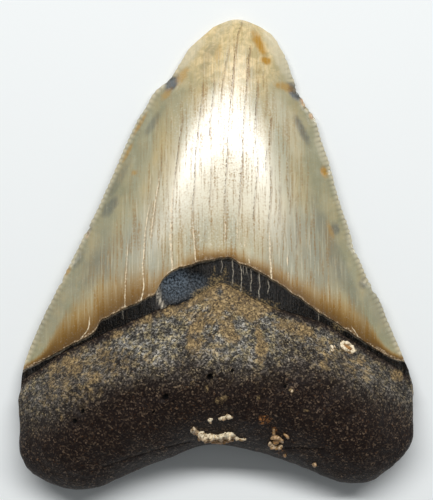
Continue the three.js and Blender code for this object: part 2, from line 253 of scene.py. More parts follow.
def root_share(x, below):
    """How much of the root's own surface shows, at a distance below the line where the crown's
    surface ends. It takes over in fewer millimetres at the sides, by the square of x."""
    return smooth(below / mix(SHOULDER_MIDDLE, SHOULDER_SIDE, (x / HALF_WIDTH) ** 2))


def inner_height(x, y, rim, dip=0.0):
    """Height of the domed inner face: the outline's own height, plus a mix of the crown's lens and
    the root's crest."""
    base = along(RIM_HEIGHT, y)
    crown = along(CROWN_DOME, y) * (1 - across_crown(x, y) ** 2) ** DOME_POWER * tip_fade(x, y)
    w = 2 * np.pi / SWELL_WAVE
    swell = SWELL_HEIGHT * np.sin(w * x + 1.3 * np.sin(w * 0.6 * y)) * np.sin(w * 0.8 * y + 0.7)
    crest_y = CREST_Y + CREST_BEND * x * x
    crest = CREST_HEIGHT - CREST_FALL * x * x - CREST_SPREAD * (y - crest_y) ** 2
    root = (crest + swell - base) * quarter_round(rim / INNER_ROUNDING)
    share = root_share(x, along(ROOT_EDGE, x) - y)
    return base + mix(crown, root, share) - dip * BAND_DEPTH * smooth(rim / LEDGE_FADE)


def outer_height(x, y, rim, on_root):
    """Height of the flat outer face: the outline's height less a mix of the crown's and the root's,
    and a step."""
    base = along(RIM_HEIGHT, y)
    crown = (base - along(OUTER_FACE, y)) * (1 - across_crown(x, y) ** OUTER_POWER) * tip_fade(x, y)
    across, down = (np.abs(x) - LOBE_FOOT_X) / LOBE_FOOT_WIDE, (y - LOBE_FOOT_Y) / LOBE_FOOT_LONG
    face = OUTER_HOLLOW - LOBE_FOOT_DEPTH * np.exp(-(across**2 + down**2) / 2)
    root = (base - face) * quarter_round(rim / OUTER_ROUNDING)
    share = root_share(x, along(OUTER_ENAMEL_EDGE, x) - y)
    return base - mix(crown, root, share) + on_root * OUTER_STEP * smooth(rim / LEDGE_FADE)


# Tooth: the grid of the inner face. Four rows make one serration, and the outer face has every
# second row and column.
COLUMNS = 216
SERRATIONS = 68
ROWS = [72, 3, 10, 3, 4 * SERRATIONS]  # root, its step, band, the enamel's step, crown
ROOT, ROOT_STEP, BAND, ENAMEL_STEP, CROWN = range(5)
CROWDING = 0.22  # share of the root's grid that is crowded at the outline, where it stands upright
SERRATION_DEPTH, VALLEY = 0.42, 0.17  # VALLEY is half a valley's width, as a share of a serration
WORN_FROM, WORN_OFF = 42, 57


def crowded(t):
    """A share that starts slowly, as t squared, and then runs evenly: a hyperbola."""
    return (np.sqrt(CROWDING**2 + t * t) - CROWDING) / (np.sqrt(CROWDING**2 + 1) - CROWDING)


span = np.repeat(np.arange(len(ROWS)), ROWS)
share = np.concatenate([np.arange(count) / count for count in ROWS])
share = np.where(span == ROOT, crowded(share), share)
span, share = np.append(span, CROWN), np.append(share, 1.0)
even = np.arange(COLUMNS + 1) / COLUMNS
from_side = 2 * np.minimum(even, 1 - even)
bunched = np.where(even <= 0.5, crowded(from_side) / 2, 1 - crowded(from_side) / 2)
bunching = along([(0, 1.0), (4, 0.9), (4.3, 0.45), (5, 0.2)], span + share)[:, None]
across = mix(even, bunched, bunching)


def serration(side, y_foot):
    """How deep a serration's valley is at a place of the cutting edge: a bell curve that is 1 at
    the valley and 0 on the lobes between. Each is cut a little differently, and they are worn away
    near the tip."""
    low, high = LINE_ENDS[CROWN:, 0 if side < 0 else 1]
    count = (y_foot - low) / (high - low) * SERRATIONS
    nearest = np.round(count)
    worn = 1 - smooth((y_foot - WORN_FROM) / (WORN_OFF - WORN_FROM))
    cut = 0.75 + 0.45 * unevenness(1, 20 + side, nearest * 1.7)
    return np.exp(-(((count - nearest) / VALLEY) ** 2)) * worn * cut


def edge_places(side, x, y):
    """How far inside a cutting edge each place is, square to it, and the height of the edge's
    nearest place: the edge is taken as straight there, with the lean that it has within 2 mm."""
    knots = LEFT_SIDE if side < 0 else RIGHT_SIDE
    lean = np.abs(along(knots, y + 2) - along(knots, y - 2)) / 4
    inside = side * (along(knots, y) - x) / np.sqrt(1 + lean**2)
    return inside, y + inside * lean / np.sqrt(1 + lean**2)


def sheet(lines, rows, columns):
    """One face of the tooth in plan, at the given rows and columns of the list: its points, and how
    far they are from the root's outline."""
    x, y = plan_points(lines, span[rows], share[rows], across[rows][:, columns])
    low = (span[rows] < CROWN)[:, None] & np.full(x.shape, True)
    rim = np.full(x.shape, 99.0)
    rim[low] = from_line(root_rim, x[low], y[low])
    rim[y > HEEL_TOP] = 99.0
    return x, y, rim


every = np.arange(len(span))
all_columns = np.arange(COLUMNS + 1)
in_x, in_y, in_rim = sheet(KEY_LINES, every, all_columns)
crown_rows = (span == CROWN)[:, None]
for column, side in ((0, -1), (COLUMNS, 1)):
    notch = serration(side, in_y[:, column]) * crown_rows[:, 0]
    in_x[:, column] -= side * SERRATION_DEPTH * notch
on_steps = [span == ROOT_STEP, span == BAND, span == ENAMEL_STEP]
dip = np.select(on_steps, [smooth(share), 1.0, 1 - smooth(share)], 0.0)
in_z = inner_height(in_x, in_y, in_rim, dip[:, None])
outline = np.zeros(in_x.shape, bool)
outline[[0, -1]] = outline[:, [0, -1]] = True
in_z[outline] = along(RIM_HEIGHT, in_y[outline])

half_rows, half_columns = every[::2], all_columns[::2]
out_x, out_y, out_rim = sheet(OUTER_LINES, half_rows, half_columns)
out_z = outer_height(out_x, out_y, out_rim, (span[half_rows] < CROWN)[:, None])
out_outline = outline[::2, ::2]
for outer, inner in ((out_x, in_x), (out_y, in_y), (out_z, in_z)):
    outer[out_outline] = inner[::2, ::2][out_outline]

# Tooth: relief. The root is grainy bone with vessel pits and creases, the crown has faint
# lengthwise waves, grooves behind its serrations and scars where chips came off, and the band is
# finely ridged and deepest in one broad scar.
GRAIN, GRAIN_SIZE = 0.12, 2.1
SWELL, SWELL_SIZE = 0.2, 7.0
FLUTE_DEPTH, PIT_DEPTH = 0.09, 1.7  # PIT_DEPTH is a share of a pit's radius
CREASE_DEPTH, CREASE_WIDTH = 0.12, 0.45
PITS = [  # x, y, radius
    (-1.5, -31.1, 0.95), (-12.8, -36.2, 0.9), (-10.8, -37.4, 0.5), (17.5, -33.4, 0.6),
    (-34, -40, 0.7), (-35.9, -42.6, 0.75), (-15.8, -40.1, 0.5), (4.2, -29.4, 0.6),
    (29.7, -39.5, 0.4),
]
CREASES = [
    [(17.6, -49.7), (22.5, -49.6), (27.8, -49.9), (29.4, -51)],
    [(-29.1, -55), (-21.6, -52.1), (-13.7, -49.7), (-6.5, -48.3)],
    [(-26.9, -39.1), (-24.9, -38.9), (-22.7, -39.2)],
]
# Patches and scars are ellipses: x, y, half length, half width, turn in degrees, strength.
CHIP_SCARS = [
    (-11.4, 44.2, 2.6, 1.5, 52, 0.15), (21.0, 42.0, 2.4, 1.4, -50, 0.15),
    (23.9, 38.6, 1.8, 1.2, -60, 0.35), (25.0, 35.2, 1.4, 1.0, -70, 0.3),
    (28.6, 21.4, 1.3, 1.0, -70, 0.3), (-34.2, 5.4, 1.6, 1.0, 62, 0.35),
    (-36.8, -0.8, 2.0, 1.1, 62, 0.35), (39.4, -7.4, 1.4, 0.9, -30, 0.4),
    (35.6, 2.6, 2.6, 1.0, -66, 0.3),
]
BAND_SCAR = [(-9.3, -9.2, 6.2, 4.6, 32, 0.5)]
GROOVE_REACH, GROOVE_DEPTH = 1.5, 0.13


def patches(places, x, y, seed):
    """How far patches cover each place: each one's strength in the middle of its ellipse, falling
    to 0 past its ragged rim, and the strongest of them where they overlap."""
    cover = np.zeros(np.shape(x))
    for n, (px, py, long, wide, turn, strength) in enumerate(places):
        c, s = np.cos(np.radians(turn)), np.sin(np.radians(turn))
        a, b = (x - px) * c + (y - py) * s, (y - py) * c - (x - px) * s
        size = 0.6 * min(long, wide)
        r = np.hypot(a / long, b / wide) + 0.25 * unevenness(size, seed + n, x, y)
        cover = np.maximum(cover, strength * smooth(1.5 - r))
    return cover


def facing(x, y, z):
    """The direction that each point of a face looks in: square to its row and its column."""
    at = np.stack([x, y, z], -1)
    normal = np.cross(np.gradient(at, axis=1), np.gradient(at, axis=0))
    return normal / np.linalg.norm(normal, axis=-1, keepdims=True)


def relief(x, y, z, enamel, root, gum, inner):
    """How far the surface stands out: grains, pits and creases on the root, waves and grooves on
    the enamel."""
    grains = unevenness(GRAIN_SIZE, 30, x, y, z) + 0.75 * unevenness(1.15, 31, x, y, z + x)
    grains = GRAIN * grains + SWELL * unevenness(SWELL_SIZE, 32, x, y, z)
    waves = 0.012 * unevenness(1, 33, x / 1.6, y / 26) + 0.03 * unevenness(1, 34, x / 6, y / 18)
    for side in (-1, 1):
        inside, foot = edge_places(side, x, y)
        groove = GROOVE_DEPTH * serration(side, foot) * np.exp(-((inside / GROOVE_REACH) ** 2))
        waves -= groove * (inside > 0.02)
    total = enamel * waves * smooth(gum / 2) + root * grains
    if inner:
        band = (1 - enamel) * (1 - root)
        total += band * FLUTE_DEPTH * (unevenness(1, 35, (x + 0.06 * y) / 0.8, y / 7) - 0.4)
        total -= band * patches(BAND_SCAR, x, y, 60)
        total -= enamel * patches(CHIP_SCARS, x, y, 40)
        for px, py, radius in PITS:
            r = np.hypot(x - px, y - py) / radius + 0.2 * unevenness(0.6, 36, x, y)
            total -= PIT_DEPTH * radius * np.clip(1 - r * r, 0, 1)
        for crease in CREASES:
            total -= CREASE_DEPTH * np.exp(-((from_line(crease, x, y) / CREASE_WIDTH) ** 2)) * root
    return total


def cover_of(x, y, enamel_edge, root_edge, crown):
    """Height above the enamel's lower edge, whether a place is enamel, and how far it is root."""
    gum = y - along(enamel_edge, x) - RAGGED[3][0] * wobble(RAGGED[3][1], x)
    root = smooth((along(root_edge, x) - y + 0.4) / 0.8)
    return gum, crown * np.ones(x.shape), root * (1 - crown)


on_crown = crown_rows * 1.0
in_gum, in_enamel, in_root = cover_of(in_x, in_y, ENAMEL_EDGE, ROOT_EDGE, on_crown)
low_edge = [(x, y - OUTER_DROPS[2]) for x, y in OUTER_ENAMEL_EDGE]
out_gum, out_enamel, out_root = cover_of(out_x, out_y, OUTER_ENAMEL_EDGE, low_edge, on_crown[::2])
in_out = facing(in_x, in_y, in_z)
out_out = -facing(out_x, out_y, out_z)
in_relief = relief(in_x, in_y, in_z, in_enamel, in_root, in_gum, True)
out_relief = relief(out_x, out_y, out_z, out_enamel, out_root, out_gum, False)
in_relief[outline] = (in_root * GRAIN * unevenness(GRAIN_SIZE, 30, in_x, in_y, in_z))[outline]
rim_out = in_out.copy()
rim_out[outline] = in_out[outline] * (1, 1, 0)
in_at = np.stack([in_x, in_y, in_z], -1) + in_relief[..., None] * rim_out
out_at = np.stack([out_x, out_y, out_z], -1) + out_relief[..., None] * out_out
out_at[..., 2] = np.maximum(out_at[..., 2], 0)
in_at[..., 2] = np.maximum(in_at[..., 2], 0)

# Tooth: marks. Each is a value at every point, which the finishes below read by its name.
CRACKS = [  # (y, x) points, the height below which lime fills it, how dark it is, how pale the lime
    ([(3, 2.3), (5.6, 2.4), (8.2, 2.3), (12.6, 2.3), (17.8, 2.4), (23, 2.7), (26.9, 3), (32.1, 3.2),
      (37.3, 3.6), (41.2, 4), (45.1, 4.3), (48.8, 4.6), (52.9, 5.1), (56.3, 5.5), (57.9, 5.9),
      (60.5, 6.8)], 10.3, 0.88, 0.5),
    ([(3, 5.4), (7.4, 5.6), (12.6, 5.9), (16.8, 6.2), (20.2, 6.3), (23.8, 6.7), (27.4, 7),
      (32.1, 7.1), (36.8, 7.3), (41.2, 7.7), (45.6, 8.1), (49.8, 8.5), (54, 8.8)], 10, 0.85, 0.4),
    ([(8.7, 9.5), (12.9, 9.8), (16, 10.1), (19.1, 10.5), (22.2, 10.6), (25.6, 10.6), (28.2, 10.3),
      (32.1, 10.2), (37.3, 10.3), (41, 10.5), (44.1, 10.7)], -20, 0.85, 0),
    ([(27.9, 13.9), (30.8, 14), (35.2, 14.3)], -20, 0.75, 0),
    ([(21.2, 12.9), (24.3, 12.9), (26.9, 13.2)], -20, 0.8, 0),
    ([(-6.6, 14.2), (-3.8, 14.2), (-0.4, 13.9), (3.5, 13.8), (8.2, 13.6), (13.4, 13.9),
      (16.5, 14.2), (22.2, 14.2)], 5.5, 0.75, 0.8),
    ([(7.4, 16.2), (12.9, 16.3), (17.6, 16.3)], -20, 0.55, 0),
    ([(10, 19), (13.9, 18.9), (19.6, 18.6), (25.9, 18.6)], -20, 0.5, 0),
    ([(0.9, 20.6), (4.5, 20.9), (10, 20.7), (15.2, 20.6)], -20, 0.5, 0),
    ([(-2, -5.1), (0.4, -5.3), (3.5, -5.5), (8.2, -5.9), (12.9, -6), (17, -5.6), (20.7, -5.5),
      (24.3, -5.3), (29, -4.9), (32.9, -4.5), (36.8, -4), (40.4, -3.6), (44.1, -3.5)], 9, 0.9, 0.6),
    ([(29.8, -1.8), (33.7, -1.6), (37.8, -1.1), (42, -0.7), (45.1, -0.6)], -20, 0.85, 0),
    ([(12.6, -1.7), (20.2, -1.3), (24.3, -1.1)], -20, 0.5, 0),
    ([(31.6, 0.5), (35.8, 0.8), (38.9, 1.1), (42, 1.5), (45.4, 1.9), (49.3, 2.5), (52.9, 3.2)], -20,
      0.65, 0),
    ([(-5.2, -11.1), (0.9, -11.4), (4.5, -11.6), (8.7, -11.4), (11.8, -11.4), (15.5, -11.1),
      (19.9, -10.7), (23.5, -10.2), (27.4, -9.7), (31.6, -9.1), (35.2, -8.5)], 17, 0.85, 1),
    ([(4, -16.7), (7.7, -16.4), (11.3, -15.9), (14.4, -15.5), (17, -15), (21.2, -14.4),
      (24.8, -13.9)], 20, 0.6, 0.5),
    ([(-12.4, -19.2), (-8.7, -18.5), (-6.1, -18.6), (-3.2, -18.8), (-0.1, -18.5), (4, -18.3),
      (8.7, -17.8), (12.9, -17)], 12.9, 0.4, 0.6),
    ([(-14.2, -23.3), (-9, -23.3), (-5.3, -23.2), (-1.2, -22.9), (2.5, -22.6)], 2, 0.4, 0.5),
    ([(12.1, -17.5), (16, -17), (20.2, -16.7)], -20, 0.35, 0),
    ([(13.9, -12.9), (19.6, -12.7), (24.3, -12.5)], -20, 0.35, 0),
    ([(-22.1, -34.9), (-21.3, -34.3), (-20.3, -33.5), (-18.9, -32.8), (-16.5, -32.6)], 0, 0.3, 0.6),
    ([(-22.2, 37.2), (-20.4, 36.2), (-19.1, 35.2)], 0, 0.3, 0.45),
    ([(-3.2, 18.3), (-0.4, 18.3)], 0.9, 0.2, 0.6),
    ([(-6.9, 18.5), (-4.8, 18.6)], -3, 0.2, 0.5),
    ([(1.7, 7.4), (4.5, 7.5)], 6.1, 0.2, 0.4),
    ([(-2.7, 8.5), (-0.1, 8.4)], 0.9, 0.2, 0.45),
    ([(2.7, -2.8), (5.6, -2.9), (9.8, -2.5)], -20, 0.3, 0),
]
LIME_LINES = [  # on the band: x, highest y, lowest y, strength
    (4.2, -1.6, -8.2, 0.7), (6.4, -2.4, -10.0, 0.9), (7.6, -3.0, -5.4, 0.5),
    (8.9, -4.0, -9.8, 0.75), (11.0, -5.0, -11.6, 1.0), (13.3, -6.6, -10.3, 0.7),
    (26.3, -15.0, -18.1, 0.7), (1.4, -1.4, -5.0, 0.6), (-24.0, -14.2, -17.0, 0.5),
]
LINE_WINDOW = 0.75  # how far to either side a line's mark is kept
# The amber stain's height above the gum line: in the middle, at the sides, and how far off it comes
# to that height.
AMBER_MIDDLE, AMBER_SIDES, AMBER_SPREAD, AMBER_RIGHT = 3.7, 12.5, 32, 0.75
AMBER_GAP_X, AMBER_GAP_WIDTH = -11.5, 4.4  # where the stain stops short
HATCH_REACH = 1.5  # how far in from a cutting edge its serrations show as a hatch
DUST_AND_LIGHT_FADE = 14
OUTER_SHIFT_X, OUTER_SHIFT_Y = 3.0, 2.5  # the outer marks are the inner ones, mirrored and moved
AMBER_SPOTS = [
    (11.3, 54.7, 3.1, 1.1, -66, 1.0), (13.0, 50.2, 1.3, 0.95, -20, 1.0),
    (0.6, 51.9, 2.4, 0.8, 80, 0.35), (-8.8, 46.2, 2.4, 1.1, 60, 0.55),
    (18.0, 43.4, 2.4, 1.0, -15, 0.6), (-12.8, 41.6, 1.8, 0.9, 50, 0.5),
    (28.3, 21.4, 1.5, 0.9, -70, 0.9), (-19.8, 33.8, 3.2, 0.5, 60, 0.6),
    (-23.0, 26.4, 2.6, 0.5, 62, 0.6), (-21.2, 21.0, 0.7, 0.6, 0, 0.6),
    (29.8, 6.0, 0.6, 2.2, 20, 0.4), (-38.6, -4.6, 1.2, 0.6, 60, 0.6),
]
ORANGE_SPOTS = [
    (23.4, 39.6, 1.4, 0.9, -55, 0.9), (25.0, 36.0, 0.8, 0.5, -70, 0.7),
    (-33.6, 4.8, 1.0, 0.5, 60, 0.4),
]
SLATE_SPOTS = [
    (-1.6, 52.4, 2.8, 1.3, 62, 0.28), (-3.0, 48.6, 2.2, 1.0, 70, 0.25),
    (8.8, 47.0, 2.4, 1.0, -60, 0.2), (-11.6, 44.3, 2.3, 1.3, 56, 1.3),
    (20.8, 42.2, 2.5, 1.5, -54, 1.4), (22.3, 32.2, 4.0, 1.0, -64, 0.75),
    (-16.4, 33.8, 3.0, 1.0, 58, 0.45), (-27.5, 12.2, 3.2, 1.3, 54, 0.6),
    (-25.4, 19.0, 6.5, 1.0, 62, 0.35), (31.0, 6.4, 1.5, 1.1, -60, 0.7),
    (-33.2, 6.4, 1.6, 0.8, 62, 0.5), (-35.8, -1.6, 2.4, 1.1, 60, 0.4),
    (38.5, -8.0, 1.6, 1.0, 20, 0.5), (-30.6, -4.0, 5.0, 3.2, 62, 0.3),
    (31.4, -1.4, 17, 1.8, -67, 0.34),
]
# Pale places of the enamel; the first two are a painted highlight on the upper right flank, beside
# the crown's highlight.
PALE_SPOTS_AND_HIGHLIGHTS = [
    (19.6, 31.5, 8.0, 2.2, -74, 0.45), (16.4, 37.2, 5.0, 2.2, -68, 0.6),
    (16.4, 52.2, 8.4, 1.7, -63, 0.8), (-6.6, 52.2, 5.4, 1.5, 52, 0.65),
    (39.6, -7.3, 1.0, 0.6, 10, 1.0), (27.2, 27.0, 4.8, 0.8, -72, 0.45),
    (-37.6, -2.6, 1.2, 0.5, 62, 0.7), (35.9, 2.8, 2.8, 0.7, -66, 0.6),
]
TAN_TIP = [(5.5, 53.0, 15.0, 12.0, 0, 0.95)]
HAZE = [
    (2.5, 5.6, 10.0, 4.0, 0, 0.3), (-7.5, 5.6, 6.0, 8.0, 0, 0.3), (21, 1, 9, 10, 0, 0.85),
    (-22, -2, 11, 9, 0, 0.8), (42.5, -15, 8, 3, -62, 0.6), (-43, -17, 8, 3, 62, 0.6),
    (26, -4, 9, 5.5, -60, 1.0), (-35, -8, 7, 4, 62, 0.55), (-15.5, 6, 4.5, 8, 0, 0.5),
]
GRAINY = [
    (3.9, 20.6, 6.0, 5.6, 0, 1.0), (-1.0, 9.0, 13.0, 9.0, 0, 0.6), (3.0, 32.0, 12.0, 12.0, 0, 0.55),
]
WORN = [
    (3.9, 19.6, 6.4, 6.6, 0, 1.0), (3.0, 9.0, 9.0, 7.0, 0, 0.7), (-13.5, 4.0, 6.0, 9.0, 0, 0.9),
]
SILT = [
    (-5.2, -22.2, 2.8, 3.8, 8, 0.5), (35.5, -29, 6, 3.2, -35, 0.4), (-33, -31, 15, 7, 28, 0.4),
    (26, -23, 10, 3, -28, 0.4), (6.1, -13.2, 8.7, 2.3, -3, 1), (1.6, -9.7, 5.7, 3.1, 0, 0.75),
    (9.4, -15.2, 2.5, 2.9, 60, 1), (2.8, -18.3, 2.2, 3.2, 0, 0.9),
    (-4.9, -18.5, 2.5, 1.4, 10, 0.75), (11.6, -24.3, 1.8, 2.9, -15, 0.95),
    (3.9, -21.3, 2.9, 1.4, 0, 0.7), (21.3, -19.4, 4.1, 1.7, -24, 0.95),
    (16.7, -18.1, 2.9, 1.8, -24, 0.7), (10.7, -19.8, 0.9, 3.6, 8, 0.8),
    (-11.6, -14.6, 2.2, 1.4, 10, 0.8), (-8.1, -13.5, 4.3, 1.3, 22, 0.7),
    (-16.6, -16.3, 5, 1.1, 24, 0.6), (-25.3, -20.9, 2.2, 1, 24, 0.7),
    (-28.4, -25, 1.8, 1.8, 0, 0.6), (-36.7, -28.7, 3.2, 3.2, 60, 0.75),
    (-41.5, -30.2, 2.2, 1.8, 40, 0.7), (-31.9, -31.3, 2.2, 2.9, 70, 0.6),
    (-17.8, -26.4, 2.5, 1.4, 20, 0.5), (-42, -33.4, 1.8, 2.5, 0, 0.5),
    (-32.7, -37.7, 0.9, 1.1, 0, 0.5), (-3, -16.3, 7.3, 2.2, 0, 0.55), (-1.5, -23, 5, 2.9, 0, 0.35),
    (31.8, -18.6, 2.2, 1.4, -30, 0.7), (37.4, -27.4, 1.4, 1.4, 0, 0.6),
    (47.1, -31.6, 1.7, 1.7, -40, 0.8), (27.4, -28.4, 1.8, 1.8, 0, 0.45),
    (24.2, -21.9, 3.2, 1.8, -30, 0.4), (19, -34.7, 0.7, 0.7, 0, 1), (-2.2, -33.9, 0.6, 0.8, 0, 0.9),
    (1.1, -36.9, 1.8, 1, 20, 0.8), (-6, -32.4, 0.7, 0.5, 0, 0.8), (10.7, -36.4, 0.9, 0.6, 40, 0.6),
    (-39.2, -41.7, 0.5, 0.5, 0, 0.8), (-39.4, -42.7, 0.7, 0.5, 0, 0.7),
    (4.4, -31.3, 0.3, 0.8, 0, 0.8), (22.8, -39.6, 0.9, 0.5, -20, 0.5),
    (0.8, -14.7, 2.9, 1.1, 0, 0.6), (0.6, -7.4, 3.6, 2, 20, 0.8), (4.5, -9.2, 5, 1.8, -24, 0.8),
    (-3.5, -10.1, 4, 1.6, 28, 0.8), (11.2, -12.5, 5, 1.1, -24, 0.7), (2.5, -5.1, 0.5, 2.6, 4, 0.7),
    (-0.4, -5.3, 0.5, 2.4, -6, 0.7), (11.6, -33.1, 1.8, 1.1, 0, 0.3),
]
# The root is paler above this line and darker below it: partly dust, and partly painted light on
# the upper slope that faces the lamps and painted shade on the lower slope.
DUST_AND_LIGHT_LINE = [
    (-51, -44), (-43, -42), (-33, -37), (-22, -30.8), (0, -29.5), (25, -28.8), (38, -34.5),
    (45, -37.5), (51, -41),
]
RUST = [
    (12.3, -42, 1.3, 1.2, 0, 1), (14.8, -45, 0.7, 1, 20, 0.8), (17, -50.9, 1, 1, 0, 0.5),
]
BLUE_SHEEN = [(-10.4, -8.0, 4.2, 3.6, 30, 1.0), (-5.4, -8.6, 3.4, 3.2, 30, 0.55)]
SCAR_RIM = [(-11.6, -3.9), (-13.6, -5.6), (-14.9, -8.6), (-14.6, -11.6), (-13.2, -14.2)]


def nearest_line(lines, x, y):
    """For lines x(y), each with two strengths: the offset in x to the nearest one, and its
    strengths near it."""
    offset, first, second = np.full(x.shape, 9.0), np.zeros(x.shape), np.zeros(x.shape)
    for n, (knots, low, high, weights) in enumerate(lines):
        wander = 0.14 * unevenness(5.0, 70 + n, y) + 0.05 * unevenness(0.9, 90 + n, y)
        away = x - along(knots, y) - wander
        ends = smooth((y - low) / 0.8 + 0.5) * smooth((high - y) / 1.5 + 0.5)
        near = (np.abs(away) < np.minimum(LINE_WINDOW, np.abs(offset))) & (ends > 0)
        offset = np.where(near, away, offset)
        a, b = weights(y)
        first, second = np.where(near, ends * a, first), np.where(near, ends * b, second)
    window = smooth((LINE_WINDOW - np.abs(offset)) / 0.3)
    return offset, first * window, second * window


def crack_weights(lime_top, dark, pale):
    """How dark and how pale a crack is at a height: lime fills it below the given height, over a
    few millimetres."""
    def at(y):
        limy = smooth((lime_top - y) / 8 + 0.5)
        return dark * (1 - 0.75 * limy), pale * limy
    return at


crack_lines = [
    (knots, knots[0][0], knots[-1][0], crack_weights(lime_top, dark, pale))
    for knots, lime_top, dark, pale in CRACKS
]
lime_lines = [
    ([(low, x), ((low + high) / 2, x + 0.2), (high, x)], low, high,
     lambda y, s=strength: (s + 0 * y, 0 * y))
    for x, high, low, strength in LIME_LINES
]


def marks(x, y, gum, inner):
    """Every mark's value at the points of one face. The outer face, with its own gum line, has
    fewer of them."""
    inside = np.minimum(edge_places(-1, x, y)[0], edge_places(1, x, y)[0])
    if not inner:
        x, y = OUTER_SHIFT_X - x, y - OUTER_SHIFT_Y
    crack, dark, pale = nearest_line(crack_lines, x, y)
    lime, lime_strength, _ = nearest_line(lime_lines, x, y)
    groove = 0.0
    for side in (-1, 1):
        away, foot = edge_places(side, x, y)
        groove = groove + serration(side, foot) * np.exp(-((away / HATCH_REACH) ** 2))
    slow = unevenness(9, 101, x, y) + 0.5 * unevenness(4, 102, x, y)
    high = mix(AMBER_MIDDLE, AMBER_SIDES, smooth(np.abs(x - 3) / AMBER_SPREAD))
    high = high * mix(1, AMBER_RIGHT, smooth((x - 5) / 12))
    by_edge = (1 - smooth((inside - 1.2) / 4.5)) * smooth((gum + 0.3) / 3.5)
    gap = np.exp(-(((x - AMBER_GAP_X) / AMBER_GAP_WIDTH) ** 2))
    reach = (gum - 0.8 * slow) / high + 1.4 * by_edge + 0.6 * gap
    rim = from_line(SCAR_RIM, x, y)
    dust_and_light = smooth((y - along(DUST_AND_LIGHT_LINE, x)) / DUST_AND_LIGHT_FADE + 0.5)
    dust_and_light = dust_and_light * mix(1, 0.75, smooth((np.abs(x + 4) - 10) / 20))
    below_band = along(ROOT_EDGE, x) - y + 0.8 * unevenness(1.6, 292, x, y)
    dust_and_light = dust_and_light * mix(0.15, 1, smooth(below_band / 2.2))
    pit = np.max([1 - np.hypot(x - px, y - py) / radius for px, py, radius in PITS], axis=0)
    crease = np.min([from_line(line, x, y) for line in CREASES], axis=0)
    return {
        "gum": gum,
        "inside": inside,
        "crack": crack,
        "crack_dark": dark,
        "crack_lime": pale,
        "lime": lime,
        "lime_strength": lime_strength * inner,
        "groove": groove * smooth((y + 30) / 3),
        "amber_reach": reach,
        "amber": patches(AMBER_SPOTS, x, y, 120),
        "orange": patches(ORANGE_SPOTS, x, y, 140),
        "slate": patches(SLATE_SPOTS, x, y, 160),
        "pale": patches(PALE_SPOTS_AND_HIGHLIGHTS, x, y, 180),
        "tip": patches(TAN_TIP, x, y, 200) * smooth((y - 30) / 16),
        "haze": patches(HAZE, x, y, 210) * mix(0.5, 1, inner),
        "worn": patches(WORN, x, y, 220) * smooth((gum - 3) / 6) * mix(0.5, 1, inner),
        "polish": smooth((gum - 1) / 15),
        "grainy": patches(GRAINY, x, y, 225),
        "silt": patches(SILT, x, y, 240) * (0.85 + 0.6 * unevenness(1.8, 260, x, y)) * inner,
        "rust": patches(RUST, x, y, 270) * inner,
        "blue": patches(BLUE_SHEEN, x, y, 280) * inner * (gum < 0.3),
        "scar_rim": np.exp(-((rim / 0.3) ** 2)) * inner * (gum < 0.1),
        "dust_and_light": dust_and_light * (1 + 0.35 * unevenness(5, 290, x, y) + 0.2 * unevenness(2, 291, x, y)),
        "pit": pit * inner,
        "crease": crease * inner,
    }


in_marks = marks(in_x, in_y, in_gum, 1)
out_marks = marks(out_x, out_y, out_gum, 0)

# Tooth: the mesh. The outer face shares the outline's points, so the two faces close.


def cells(grid):
    """The four-sided faces of a grid of point numbers: each cell's corners, first along its row."""
    return np.stack([grid[:-1, :-1], grid[:-1, 1:], grid[1:, 1:], grid[1:, :-1]], -1).reshape(-1, 4)


number = np.arange(in_x.size).reshape(in_x.shape)
own = ~out_outline
out_number = np.where(out_outline, number[::2, ::2], 0)
out_number[own] = in_x.size + np.arange(own.sum())
points = np.concatenate([in_at.reshape(-1, 3), out_at[own]]) * MM
in_faces = cells(number)
o = out_number
out_cells = np.stack([o[:-1, :-1], o[1:, :-1], o[1:, 1:], o[:-1, 1:]], -1)
between_left, between_right = number[1::2, 0], number[1::2, -1]
between_low, between_high = number[0, 1::2], number[-1, 1::2]
out_faces, out_rows = [], []


def add_cells(rows, columns, *extra):
    """Adds outer cells, and after each of their corners the point between that the inner face has
    there, if any."""
    corners = out_cells[rows, columns].reshape(-1, 4)
    order = [corners[:, 0], corners[:, 1], corners[:, 2], corners[:, 3]]
    for after, between in sorted(extra, key=lambda e: -e[0]):
        order.insert(after + 1, np.broadcast_to(between, corners.shape[:1]))
    out_faces.extend(np.stack(order, 1).tolist())
    in_rows = every[:-1:2][rows]
    out_rows.extend(np.repeat(in_rows, len(corners) // len(in_rows)).tolist())


head, mid, last = slice(0, 1), slice(1, -1), slice(-1, None)
add_cells(mid, mid)
add_cells(mid, head, (0, between_left[1:-1]))
add_cells(mid, last, (2, between_right[1:-1]))
add_cells(head, mid, (3, between_low[1:-1]))
add_cells(last, mid, (1, between_high[1:-1]))
add_cells(head, head, (0, between_left[:1]), (3, between_low[:1]))
add_cells(head, last, (2, between_right[:1]), (3, between_low[-1:]))
add_cells(last, head, (0, between_left[-1:]), (1, between_high[:1]))
add_cells(last, last, (1, between_high[-1:]), (2, between_right[-1:]))

tooth_mesh = bpy.data.meshes.new("tooth_surface")
tooth_mesh.from_pydata(points.tolist(), [], in_faces.tolist() + out_faces)
in_finish = np.array([0, 0, 1, 2, 2])[np.repeat(span[:-1], COLUMNS)]
out_finish = np.array([0, 0, 0, 0, 2])[span[np.array(out_rows)]]
finishes = np.concatenate([in_finish, out_finish]).astype(np.int32)
tooth_mesh.polygons.foreach_set("material_index", finishes)
tooth_mesh.polygons.foreach_set("use_smooth", np.ones(len(tooth_mesh.polygons), bool))
tooth_mesh.set_sharp_from_angle(angle=np.radians(65))
for name in in_marks:
    values = np.concatenate([in_marks[name].ravel(), out_marks[name][own]]).astype(np.float32)
    tooth_mesh.attributes.new(name, "FLOAT", "POINT").data.foreach_set("value", values)
tooth_mesh.validate()
tooth_mesh.update()


def placed(name, data):
    """Adds an object to the scene, at the origin."""
    made = bpy.data.objects.new(name, data)
    bpy.context.collection.objects.link(made)
    return made


tooth = placed("fossil_tooth", tooth_mesh)
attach(tooth, "root")
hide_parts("tooth")
